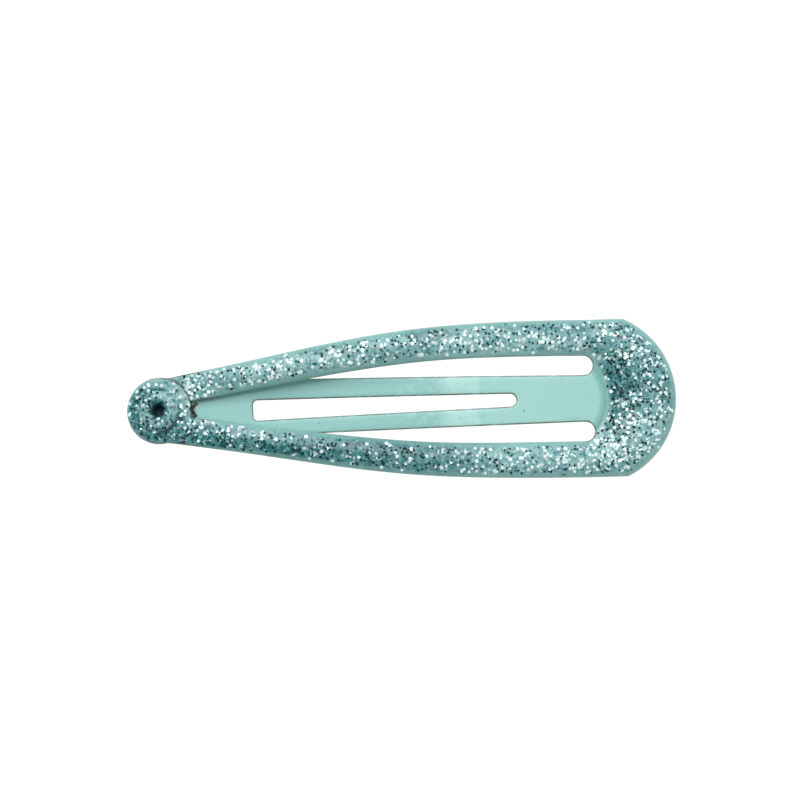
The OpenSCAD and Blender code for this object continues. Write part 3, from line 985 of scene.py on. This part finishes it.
def slot_line(shape, sizes):
    """The edge of the tongue's long slot as a closed loop, from its narrow end on."""
    quarter = math.pi / 2
    end_steps, side_steps, corner_steps, flat_steps = 12, 130, 8, 5
    narrow_x = shape.end_x - sizes.slot_root_back - sizes.slot_narrow / 2
    run = narrow_x - (shape.tip_x + sizes.slot_from_tip)
    narrow = polar(0, sizes.slot_narrow / 2, quarter * shares(end_steps))
    start = np.array([0, sizes.slot_narrow / 2])
    corner = np.array([sizes.slot_corner - run, sizes.slot_wide / 2 - sizes.slot_corner])
    side = start + shares(side_steps)[:, None] * (corner + [0, sizes.slot_corner] - start)
    turn = polar(corner[0], sizes.slot_corner, quarter * (1 + shares(corner_steps)), corner[1])
    flat = np.stack([np.full(flat_steps, -run), corner[1] * np.linspace(1, 0, flat_steps)], -1)
    slot = both_halves([narrow, side, turn, flat])
    c, s = math.cos(sizes.slot_lean), math.sin(sizes.slot_lean)
    return slot @ np.array([[c, s], [-s, c]]) + [narrow_x, 0]


def inside(loops, points):
    """Whether each point lies inside the first loop and outside the others."""
    odd = np.zeros(len(points), bool)
    for loop in loops:
        a, b = loop, np.roll(loop, -1, axis=0)
        for start in range(0, len(points), BATCH):
            p = points[start:start + BATCH]
            spans = (a[:, 1] > p[:, 1:]) != (b[:, 1] > p[:, 1:])
            way = (p[:, 1:] - a[:, 1]) / np.where(a[:, 1] == b[:, 1], 1, b[:, 1] - a[:, 1])
            hits = spans & (p[:, :1] < a[:, 0] + way * (b[:, 0] - a[:, 0]))
            odd[start:start + BATCH] ^= hits.sum(1) % 2 == 1
    return odd


def inset(loop, depth, inward):
    """A closed loop moved sideways; inward is 1 where its inside lies to the left."""
    tangent = unit(np.roll(loop, -1, 0) - np.roll(loop, 1, 0))
    return loop + depth * inward * np.stack([-tangent[:, 1], tangent[:, 0]], -1)


def plate(name, shape, loops, free, height, material):
    """A closed piece of sheet inside the first loop and round the others, its free edges rounded."""
    depths = shape.r_edge * (1 - np.cos(np.linspace(0, math.pi / 2, shape.edge_steps)))
    points, edges = [], []
    for loop, inward in zip(loops, (1, *[-1] * (len(loops) - 1))):
        for depth in depths:
            base = sum(len(p) for p in points)
            points.append(inset(loop, depth, inward))
            edges += [(base + i, base + (i + 1) % len(loop)) for i in range(len(loop))]
    points += inner_points(shape, loops)
    flat = [Vector(p) for p in np.concatenate(points)]
    coords, _, faces, _, _, _ = delaunay_2d_cdt(flat, edges, [], 0, 1e-9)
    plan, faces = np.array(coords), np.array(faces)
    faces = faces[inside(loops, plan[faces].mean(1))]
    if not len(faces):
        raise RuntimeError("The outline of " + name + " has no inside")
    depth = np.minimum(distance_to(free, plan), distance_to(closed_line(loops[1]), plan))
    z, drop = height(plan[:, 0]), shape.edge_drop(depth)
    top = np.column_stack([plan, z + shape.t / 2 - drop])
    below = np.column_stack([plan, z - shape.t / 2 + drop])
    count = len(plan)
    walls = boundary_walls(faces, count)
    skin = [tuple(f) for f in faces] + [tuple(f[::-1] + count) for f in faces] + walls
    return mesh_object(name, np.concatenate([top, below]), skin, material)


def inner_points(shape, loops):
    """Points that fill a plate, in rows of near-equal triangles, and finer where the paint is torn."""
    spacing = 0.34 * MM
    row_gap, clear = spacing * 0.866, 0.45 * spacing
    low, high = loops[0].min(0), loops[0].max(0)
    rows = np.arange(low[1], high[1], row_gap)
    columns = np.arange(low[0], high[0], spacing)
    grid = np.array([(x + spacing / 2 * (i % 2), y) for i, y in enumerate(rows) for x in columns])
    grid = well_inside(loops, grid, shape.r_edge + clear)
    fine = np.arange(-10, 11) * 0.3 * CHIP_REACH
    close = np.array([(x, y) for x in CHIP_LINE[:, 0].mean() + fine for y in fine])
    close = well_inside(loops, close, shape.r_edge + 0.1 * CHIP_REACH)
    return [grid, close[distance_to(CHIP_LINE, close) < 2 * CHIP_REACH]]


def well_inside(loops, points, depth):
    """The points that lie inside the plate and further than a depth from its edges."""
    points = points[inside(loops, points)]
    clear = np.min([distance_to(closed_line(loop), points) for loop in loops], axis=0)
    return points[clear > depth]


def boundary_walls(faces, count):
    """Quads between a flat mesh's open edges and the same edges of its copy below."""
    directed = {(int(a), int(b)) for f in faces for a, b in zip(f, np.roll(f, -1))}
    return [(b, a, a + count, b + count) for a, b in directed if (b, a) not in directed]


def closed_line(loop):
    """A closed loop with its first point again at its end."""
    return np.concatenate([loop, loop[:1]])


def tongue_free_edge(shape, outer):
    """The part of the tongue's outer line that isn't the crease."""
    slack = 0.01 * MM
    on_crease = (from_crease(shape, outer) > -slack) & (outer[:, 0] > shape.slot_turn_x)
    return outer[~on_crease]


def bend_at_crease(thing, shape):
    """Bakes the object's place into its mesh; the height worked out at the slot's end is not used."""
    z = float(shape.tongue_z(shape.slot_end_x))
    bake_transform(thing)


def tip_wear_and_shadow(shape, plan):
    """Where the tongue's tip is drawn bare: all of it under the lobe and just past its rim, a painted
    shadow of the lobe, then a torn wedge where the paint is off.
    """
    torn_fade, wedge_half, soft = 0.5 * MM, 0.2 * MM, 0.3 * MM
    order = np.argsort(CHIP_LINE[:, 1])
    torn_x = np.interp(plan[:, 1], CHIP_LINE[order, 1], CHIP_LINE[order, 0])
    wedge = np.clip(0.8 + (torn_x - plan[:, 0]) / torn_fade, 0, 1)
    wedge *= 1 - ease((np.abs(plan[:, 1]) - wedge_half) / soft)
    # Painted shadow of the lobe: bare and dark under it and just past its rim
    under = shape.lobe_r - about_lobe(shape, plan)[2]
    lobe_shadow = ease(0.5 + under / soft)
    return np.max([wedge, lobe_shadow, chipped(plan)], axis=0)


class HAIR_CLIP_OT_seat_specks(bpy.types.Operator):
    """Seat the small dark grains caught in the tongue's enamel, as low domes"""

    bl_idname = "hair_clip.seat_specks"
    bl_label = "Enamel Specks"

    def execute(self, context):
        shape = shape_of(context.scene)
        n, shoulder_share = 10, 0.7
        # Heights over the enamel: of the foot, the shoulder and the top
        sunk, shoulder, top = -0.01 * MM, 0.006 * MM, 0.01 * MM
        vertices, faces = [], []
        for x, y, radius in SPECKS:
            z = float(shape.tongue_z(x)) + shape.t / 2
            base = len(vertices)
            for reach, height in ((radius, sunk), (shoulder_share * radius, shoulder)):
                vertices += [(px, py, z + height) for px, py in polar(x, reach, full_turn(n), y)]
            vertices.append((x, y, z + top))
            for i in range(n):
                k = (i + 1) % n
                faces.append((base + i, base + k, base + n + k, base + n + i))
                faces.append((base + n + i, base + n + k, base + 2 * n))
            faces.append(tuple(base + i for i in range(n - 1, -1, -1)))
        specks = mesh_object("enamel_specks", vertices, faces, finish(context.scene, "dark_grain"))
        bend_at_crease(specks, shape)
        return {"FINISHED"}


class HAIR_CLIP_OT_seat_eyelet(bpy.types.Operator):
    """Seat the rolled eyelet in the lobes' bore"""

    bl_idname = "hair_clip.seat_eyelet"
    bl_label = "Rolled Eyelet"

    def execute(self, context):
        shape, sizes = shape_of(context.scene), context.scene.clip_eyelet
        rows = rolled_rows(sizes, eyelet_profile(sizes, shape.stack, shape.seat_gap), shape.stack)
        around, ring = rows.shape[:2]
        thing = mesh_object("rolled_eyelet", rows.reshape(-1, 3), ring_faces(around, ring, True),
                            finish(context.scene, "glitter_coat"))
        thing.data.transform(lobe_axis(shape))
        thing.data.update()
        cover_eyelet(thing, shape, np.hypot(rows[..., 0], rows[..., 1]) - sizes.hole_radius)
        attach(thing, "frame")
        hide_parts("eyelet")
        return {"FINISHED"}


def cover_eyelet(thing, shape, from_bore):
    """Writes where the glitter coat lies on the eyelet, with painted shade that deepens towards the
    bore's mouth.
    """
    coat_fade, pool_reach = 0.3 * MM, 0.7 * MM
    # Painted shade in the bore, as coat thickness: at the bore's mouth, and how much less lies past the
    # reach
    mouth_shade, less = 1.9, 1.7
    height = np.array([v.co.z for v in thing.data.vertices])
    set_attribute(thing, "cover", ease((height - float(shape.arch_z(shape.lobe_x))) / coat_fade))
    set_attribute(thing, "pool", mouth_shade - less * ease(from_bore / pool_reach))
    set_attribute(thing, "chip", np.zeros(len(height)))


def waves(table, turn):
    """Sum of the waves in a table at a place round the ring."""
    return sum(size * math.sin(count * turn + start) for size, count, start in table)


def rolled_rows(sizes, profile, stack):
    """The eyelet's line at each place round its axis, a little uneven at the ring, as rolled by hand."""
    # Waves of its radius and of its height: size, number in a turn and start
    wobble, swell = ((0.012, 3, 0.7), (0.009, 7, 2.1)), ((1.0, 2, 1.1), (0.6, 5, 0.0))
    around, swell_height = 96, 0.022 * MM
    out = ease((profile[:, 0] - sizes.hole_radius) / sizes.wall)
    up = ease((profile[:, 1] - stack) / sizes.ring_height)
    rows = np.zeros((around, len(profile), 3))
    for i, turn in enumerate(full_turn(around)):
        radius = profile[:, 0] * (1 + waves(wobble, turn) * out)
        rows[i, :, 0] = radius * math.cos(turn)
        rows[i, :, 1] = radius * math.sin(turn)
        rows[i, :, 2] = profile[:, 1] + swell_height * waves(swell, turn) * up
    return rows


def eyelet_profile(sizes, stack, seat):
    """The eyelet's closed (radius, height) line: bore, rolled ring, barrel and flare."""
    def roll(outer_radius, height, steps):
        """A domed roll from the bore's mouth to its outer foot."""
        half = (outer_radius - sizes.hole_radius) / 2
        radius = (half ** 2 + height ** 2) / (2 * height)
        across = sizes.hole_radius + half * (1 - np.cos(np.linspace(0, math.pi, steps)))
        dome = np.sqrt(np.maximum(radius ** 2 - (across - sizes.hole_radius - half) ** 2, 0))
        return across, dome + height - radius

    ring_steps, flare_steps = 22, 12
    across, up = roll(sizes.ring_radius, sizes.ring_height, ring_steps)
    below, down = roll(sizes.flare_radius, sizes.flare_height, flare_steps)
    barrel = sizes.hole_radius + sizes.wall
    foot = stack - seat
    line = [(sizes.hole_radius, -stack), (sizes.hole_radius, 0.0)]
    line += list(zip(across, stack + up))
    line += [(sizes.ring_radius, foot), (barrel, foot), (barrel, -foot), (sizes.flare_radius, -foot)]
    line += [(r, -stack - d) for r, d in zip(below[::-1], down[::-1])]
    return np.array(line)


class HAIR_CLIP_OT_line_edges(bpy.types.Operator):
    """Line the sheet's cut edges"""

    bl_idname = "hair_clip.line_edges"
    bl_label = "Cut Edges"

    def execute(self, context):
        shape = shape_of(context.scene)
        steel = finish(context.scene, "cut_steel")
        parts = []
        for side in (-1, 1):
            for line, away in ((shape.outer, 1), (shape.inner[shape.crease_steps:], -1)):
                x = line[:, 0]
                z = shape.arch_z(x) - side * shape.lift(x)
                parts.append(edge_strip(shape, line * [1, side], z, away * side, False))
        thing = join_strips("frame_cut_edge", parts, steel)
        plan = plan_of(thing)
        # Painted shadow along the seam, drawn as bare steel, though less than the torn paint in the
        # crotch
        seam_shadow = 0.6
        set_attribute(thing, "chip", np.maximum(chipped(plan), seam_shadow * lobe_seam(shape, plan)))
        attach(thing, "frame")

        sizes = context.scene.clip_tongue
        outer, slot = tongue_line(shape, sizes), slot_line(shape, sizes)
        free = tongue_free_edge(shape, outer)
        parts = [edge_strip(shape, free, shape.tongue_z(free[:, 0]), 1, False),
                 edge_strip(shape, slot, shape.tongue_z(slot[:, 0]), -1, True)]
        thing = join_strips("tongue_cut_edge", parts, steel)
        bend_at_crease(thing, shape)
        return {"FINISHED"}


def edge_strip(shape, line, z, away, closed):
    """A thin band round a painted edge; away is 1 where the outside lies to the line's right."""
    proud, sunk, turn = 0.004 * MM, 0.012 * MM, math.radians(66)
    tangent = np.roll(line, -1, 0) - np.roll(line, 1, 0) if closed else np.gradient(line, axis=0)
    tangent = unit(tangent)
    outward = np.stack([tangent[:, 1], -tangent[:, 0]], -1) * away
    r, flat = shape.r_edge, shape.t / 2 - shape.r_edge
    last = shape.edge_steps - 1
    section = []
    for offset, order in ((proud, 1), (-sunk, -1)):
        side = []
        for sign in (1, -1):
            for k in range(last + 1):
                lean = turn * (1 - k / last) if sign > 0 else turn * k / last
                side.append((-r + (r + offset) * math.cos(lean),
                             sign * (flat + (r + offset) * math.sin(lean))))
        section += side[::order]
    section = np.array(section)
    rows = np.zeros((len(line), len(section), 3))
    rows[..., :2] = line[:, None] + outward[:, None] * section[None, :, :1]
    rows[..., 2] = z[:, None] + section[None, :, 1]
    return rows, closed


def join_strips(name, parts, material):
    """One object from several strips."""
    vertices, faces = [], []
    for rows, closed in parts:
        base = sum(len(v) for v in vertices)
        count, ring = rows.shape[:2]
        vertices.append(rows.reshape(-1, 3))
        faces += [tuple(base + i for i in face) for face in ring_faces(count, ring, closed)]
    return mesh_object(name, np.concatenate(vertices), faces, material)


class HAIR_CLIP_OT_strew_glitter(bpy.types.Operator):
    """Strew hexagonal flakes over the frame and the eyelet"""

    bl_idname = "hair_clip.strew_glitter"
    bl_label = "Glitter"

    def execute(self, context):
        shape, look = shape_of(context.scene), context.scene.clip_glitter
        draw = np.random.default_rng(look.seed)
        spots, normals = strewn(shape, look, draw)
        on_ring = strewn_on_eyelet(shape, context.scene.clip_eyelet, look, draw)
        spots = np.concatenate([spots, on_ring[0]])
        normals = np.concatenate([normals, on_ring[1]])
        kind = tones_of(shape, spots, draw)
        green = np.argmin(np.linalg.norm(spots[:, :2] - GREEN_FLAKE, axis=1))
        kind[green] = len(TONES)
        for index, name in enumerate(TONES):
            pick = kind == index
            flakes(name + "_flakes", shape, spots[pick], normals[pick],
                   getattr(look, name + "_radius"), look, draw,
                   finish(context.scene, name + "_foil"))
        flakes("green_flake", shape, spots[green:green + 1], normals[green:green + 1],
               look.silver_radius, look, draw, finish(context.scene, "green_foil"))
        return {"FINISHED"}


def strewn(shape, look, draw):
    """Places and normals of the flakes on the frame's top, by area and by cover."""
    across = 25
    plan, z, _ = shape.band(np.linspace(0, 1, across)[None].repeat(len(shape.outer), 0))
    spots, normals = [], []
    for side in (-1, 1):
        grid = np.concatenate([plan * [1, side],
                               (z - side * shape.lift(plan[..., 0]) + shape.t / 2)[..., None]], -1)
        a, b, c, d = grid[:-1, :-1], grid[1:, :-1], grid[1:, 1:], grid[:-1, 1:]
        normal = np.cross(c - a, d - b)
        area = np.linalg.norm(normal, axis=-1) / 2
        normal = unit(normal) * np.sign(normal[..., 2:])
        weight = flakes_on(shape, look, ((a + b + c + d) / 4)[..., :2], area, side)
        count = int(round(weight.sum()))
        chosen = draw.choice(weight.size, count, p=weight.ravel() / weight.sum())
        i, j = np.unravel_index(chosen, weight.shape)
        u, v = draw.random((2, count, 1))
        spots.append((1 - u) * (1 - v) * a[i, j] + u * (1 - v) * b[i, j]
                     + u * v * c[i, j] + (1 - u) * v * d[i, j])
        normals.append(normal[i, j])
    return np.concatenate(spots), np.concatenate(normals)


def flakes_on(shape, look, middle, area, side):
    """How many flakes lie on each small patch of one arm, from its middle and area."""
    wide_from, tip_from, fade = 15.5 * MM, -14.5 * MM, 4 * MM
    # Nearer than this to the torn paint or the seam lies no flake, and at the ring's foot lie few
    torn, seam, foot, foot_share, rim_clear = 0.35, 0.15, 0.4, 0.25, 0.1 * MM
    x, away = middle[..., 0], about_lobe(shape, middle)[2]
    near_end = np.maximum(ease((x - wide_from) / fade), ease((tip_from - x) / fade))
    density = (look.arm_density + (look.end_density - look.arm_density) * near_end) / MM ** 2
    weight = area * density * coat_cover(shape, middle)
    weight[chipped(middle) > torn] = 0
    weight[ring_foot(shape, middle) > foot] *= foot_share
    weight[lobe_seam(shape, middle) > seam] = 0
    weight[away < shape.ring_r] = 0
    if side > 0:
        # The lobe of this arm lies under the other one
        weight[away < shape.lobe_r + rim_clear] = 0
    return weight


def strewn_on_eyelet(shape, sizes, look, draw):
    """Places and normals of the flakes on the eyelet's rolled ring."""
    # Share of the wide end's density, the rims left free at bore and foot, and the outer slope's start
    fullness, bore_rim, foot_rim, slope_from = 0.8, 0.1 * MM, 0.08 * MM, 0.45 * MM
    half = (sizes.ring_radius - sizes.hole_radius) / 2
    roll = (half ** 2 + sizes.ring_height ** 2) / (2 * sizes.ring_height)
    area = math.pi * (sizes.ring_radius ** 2 - sizes.hole_radius ** 2)
    count = int(fullness * area * look.end_density / MM ** 2)
    radius = np.sqrt(draw.uniform((sizes.hole_radius + bore_rim) ** 2,
                                  (sizes.ring_radius - foot_rim) ** 2, count))
    turn = draw.uniform(0, 2 * math.pi, count)
    # Few have stuck to the ring's outer slope on the arms' side
    facing = np.cos(turn - 0.3) > 0.4
    slope = (radius > sizes.hole_radius + slope_from) & facing
    kept = ~slope | (draw.random(count) < 0.25)
    radius, turn = radius[kept], turn[kept]
    across = radius - sizes.hole_radius - half
    height = shape.stack + np.sqrt(roll ** 2 - across ** 2) - (roll - sizes.ring_height)
    spots = np.stack([radius * np.cos(turn), radius * np.sin(turn), height], -1)
    lean = across / roll
    normals = np.stack([lean * np.cos(turn), lean * np.sin(turn), np.sqrt(1 - lean ** 2)], -1)
    turned = np.array(lobe_axis(shape))
    return spots @ turned[:3, :3].T + turned[:3, 3], normals @ turned[:3, :3].T


def tones_of(shape, spots, draw):
    """0 silver, 1 teal or 2 deep for each flake; the dark ones show most where the coat pooled and where
    shade is painted.
    """
    thick_and_shaded = pooled_and_shaded(shape, spots[:, :2])
    silver, deep = (thin + more * thick_and_shaded for thin, more in (SILVER_SHARE, DEEP_SHARE))
    roll = draw.random(len(spots))
    return np.where(roll < silver, 0, np.where(roll > 1 - deep, 2, 1))


def flakes(name, shape, spots, normals, radius, look, draw, material):
    """One object of small hexagonal plates that stand part-sunk in the coat."""
    # Spread of the flakes' radii, as shares, and of how far they stand out, in foil thicknesses
    spread, stand = (0.68, 1.12), (0.1, 0.9)
    # Radius of a flake's upper face over its lower one, and how much a pooled coat and its painted shade
    # darken a flake
    upper, shade_dimming = 0.94, 0.6
    count = len(spots)
    size = radius * draw.uniform(*spread, (count, 1))
    tilt = np.abs(draw.normal(0, look.tilt, (count, 1)))
    heading = draw.uniform(0, 2 * math.pi, (count, 1))
    side = unit(np.cross(normals, [0.0, 1.0, 0.0]))
    ahead = np.cross(normals, side)
    lean = np.cos(heading) * side + np.sin(heading) * ahead
    up = unit(np.cos(tilt) * normals + np.sin(tilt) * lean)
    first = unit(np.cross(up, ahead))
    second = np.cross(up, first)
    turn = draw.uniform(0, math.pi / 3, (count, 1))
    height = draw.uniform(*stand, (count, 1)) * look.flake_thickness + 0.45 * size * np.sin(tilt)
    centre = spots + height * normals
    rings = []
    for level, shrink in ((0.5, upper), (-0.5, 1.0)):
        for k in range(6):
            a = turn + k * math.pi / 3
            rings.append(centre + level * look.flake_thickness * up
                         + shrink * size * (np.cos(a) * first + np.sin(a) * second))
    vertices = np.stack(rings, 1).reshape(-1, 3)
    hexagon = [(0, 1, 2, 3, 4, 5), (11, 10, 9, 8, 7, 6)]
    hexagon += [(k, k + 6, (k + 1) % 6 + 6, (k + 1) % 6) for k in range(6)]
    faces = [tuple(12 * n + i for i in face) for n in range(count) for face in hexagon]
    thing = mesh_object(name, vertices, faces, material, smooth=False)
    # A pooled coat and its painted shade darken the flakes
    tone = draw.random(count) * (1 - shade_dimming * np.minimum(pooled_and_shaded(shape, spots[:, :2]), 1))
    set_attribute(thing, "tone", np.repeat(tone, len(hexagon)), "FACE")
    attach(thing, "frame")


# Lights: name, azimuth and elevation (degrees), distance and side (metres), power (watts)
LIGHTS = (("key_light", 100, 60, 0.5, 0.4, 2.6), ("side_light", -20, 50, 0.5, 0.16, 0.35))
# Strength of the white room, the floor's grey and its own glow, and the colour of the dark card that
# paints the shadow under the eyelet
ROOM_LIGHT, FLOOR_GREY, FLOOR_GLOW = 0.15, 0.12, 0.97
HOLE_SHADOW_COLOUR = (0.045, 0.09, 0.1, 1)


class HAIR_CLIP_OT_set_studio(bpy.types.Operator):
    """Set the pale floor, the soft lights and the camera"""

    bl_idname = "hair_clip.set_studio"
    bl_label = "Studio"

    def execute(self, context):
        scene = context.scene
        scene.view_settings.view_transform = "Standard"
        lay_floor()
        shadow_under_hole(shape_of(scene), scene.clip_eyelet)
        for light in LIGHTS:
            hang_light(*light)
        scene.world = bpy.data.worlds.new("soft_room")
        scene.world.use_nodes = True
        room = scene.world.node_tree.nodes["Background"].inputs
        room["Color"].default_value = (1, 1, 1, 1)
        room["Strength"].default_value = ROOM_LIGHT
        aim_camera(scene)
        return {"FINISHED"}


def lay_floor():
    """A plain pale floor that glows, so that it comes out near white.

    It lies low, since the tongue swings below the frame, and its far rim turns up to fill the
    background of a low view.
    """
    half, drop, level_to, rim_rise, steps = 1.5, 20 * MM, 0.9, 0.2, 40
    line = np.linspace(-half, half, steps + 1)
    x, y = np.meshgrid(line, line, indexing="ij")
    z = rim_rise * ease((np.hypot(x, y) - level_to) / (half - level_to)) - drop
    corners = [(i, j) for i in range(steps) for j in range(steps)]
    n = steps + 1
    faces = [(i * n + j, (i + 1) * n + j, (i + 1) * n + j + 1, i * n + j + 1) for i, j in corners]
    m = Nodes("pale_floor")
    m.set(Base_Color=(*[FLOOR_GREY] * 3, 1), Roughness=0.9, Specular_IOR_Level=0.0,
          Emission_Color=(1, 1, 1, 1), Emission_Strength=FLOOR_GLOW)
    mesh_object("floor", np.stack([x, y, z], -1).reshape(-1, 3), faces, m.material)


def shadow_under_hole(shape, sizes):
    """A small dark card right under the eyelet, a painted shadow that keeps the hole as dark as the
    shade under the lobes.
    """
    around, clear = 32, 0.02 * MM
    level = -(shape.stack + sizes.flare_height + clear)
    rim = polar(0, 0.9 * sizes.flare_radius, full_turn(around))
    points = [(x, y, level) for x, y in rim]
    m = Nodes("hole_shadow_card")
    m.set(Base_Color=HOLE_SHADOW_COLOUR, Roughness=0.9, Specular_IOR_Level=0.1)
    card = mesh_object("hole_shadow_card", points, [tuple(range(around))], m.material, smooth=False)
    card.matrix_world = lobe_axis(shape)


def hang_light(name, azimuth, elevation, away, size, power):
    """A soft square light that looks at the clip's middle."""
    light = bpy.data.lights.new(name, "AREA")
    light.size, light.energy = size, power
    thing = bpy.data.objects.new(name, light)
    bpy.context.scene.collection.objects.link(thing)
    a, e = math.radians(azimuth), math.radians(elevation)
    ray = Vector((math.cos(a) * math.cos(e), math.sin(a) * math.cos(e), math.sin(e)))
    thing.location = ray * away
    thing.rotation_euler = ray.to_track_quat("Z", "Y").to_euler()


def aim_camera(scene):
    """The photograph's view: almost from above, from the -Y side, turned a little in its plane."""
    elevation, roll, away = math.radians(86.1), math.radians(-1.77), 0.2014
    target = Vector((-0.165, 0.305, 1.5)) * MM
    back = Vector((0, -math.cos(elevation), math.sin(elevation)))
    camera = bpy.data.objects.new("camera", bpy.data.cameras.new("camera"))
    camera.data.lens, camera.data.sensor_width, camera.data.clip_start = 100, 36, 0.01
    camera.location = target + back * away
    turn = back.to_track_quat("Z", "Y").to_matrix().to_4x4()
    camera.rotation_euler = (turn @ Matrix.Rotation(roll, 4, "Z")).to_euler()
    scene.collection.objects.link(camera)
    scene.camera = camera


class HAIR_CLIP_PT_sidebar(bpy.types.Panel):
    """Sidebar panel with the clip's settings and steps"""

    bl_idname = "HAIR_CLIP_PT_sidebar"
    bl_label = "Snap Hair Clip"
    bl_space_type = "VIEW_3D"
    bl_region_type = "UI"
    bl_category = "Hair Clip"

    def draw(self, context):
        for owner, _ in SETTINGS:
            box = self.layout.box()
            group = getattr(context.scene, owner)
            for name in group.__annotations__:
                box.prop(group, name)
        for step in STEPS:
            self.layout.operator(step.bl_idname)


# The settings on the scene, and the steps in the order in which they run
SETTINGS = (("clip_sheet", SheetSizes), ("clip_tongue", TongueSizes), ("clip_eyelet", EyeletSizes),
            ("clip_glitter", GlitterLook), ("clip_paint", PaintLook))
STEPS = (HAIR_CLIP_OT_paint_frame, HAIR_CLIP_OT_paint_tongue, HAIR_CLIP_OT_seat_specks,
         HAIR_CLIP_OT_seat_eyelet, HAIR_CLIP_OT_line_edges, HAIR_CLIP_OT_strew_glitter,
         HAIR_CLIP_OT_set_studio)


def register():
    """Registers the classes and hangs the settings on the scene."""
    for owner, group in SETTINGS:
        bpy.utils.register_class(group)
        setattr(bpy.types.Scene, owner, PointerProperty(type=group))
    for step in STEPS:
        bpy.utils.register_class(step)
    bpy.utils.register_class(HAIR_CLIP_PT_sidebar)


def unregister():
    """Takes the settings and the classes away again."""
    bpy.utils.unregister_class(HAIR_CLIP_PT_sidebar)
    for step in reversed(STEPS):
        bpy.utils.unregister_class(step)
    for owner, group in reversed(SETTINGS):
        delattr(bpy.types.Scene, owner)
        bpy.utils.unregister_class(group)


def main():
    """Builds the clip step by step."""
    register()
    bpy.ops.hair_clip.paint_frame()
    bpy.ops.hair_clip.paint_tongue()
    bpy.ops.hair_clip.seat_specks()
    bpy.ops.hair_clip.seat_eyelet()
    bpy.ops.hair_clip.line_edges()
    bpy.ops.hair_clip.strew_glitter()
    bpy.ops.hair_clip.set_studio()


if __name__ == "__main__":
    main()
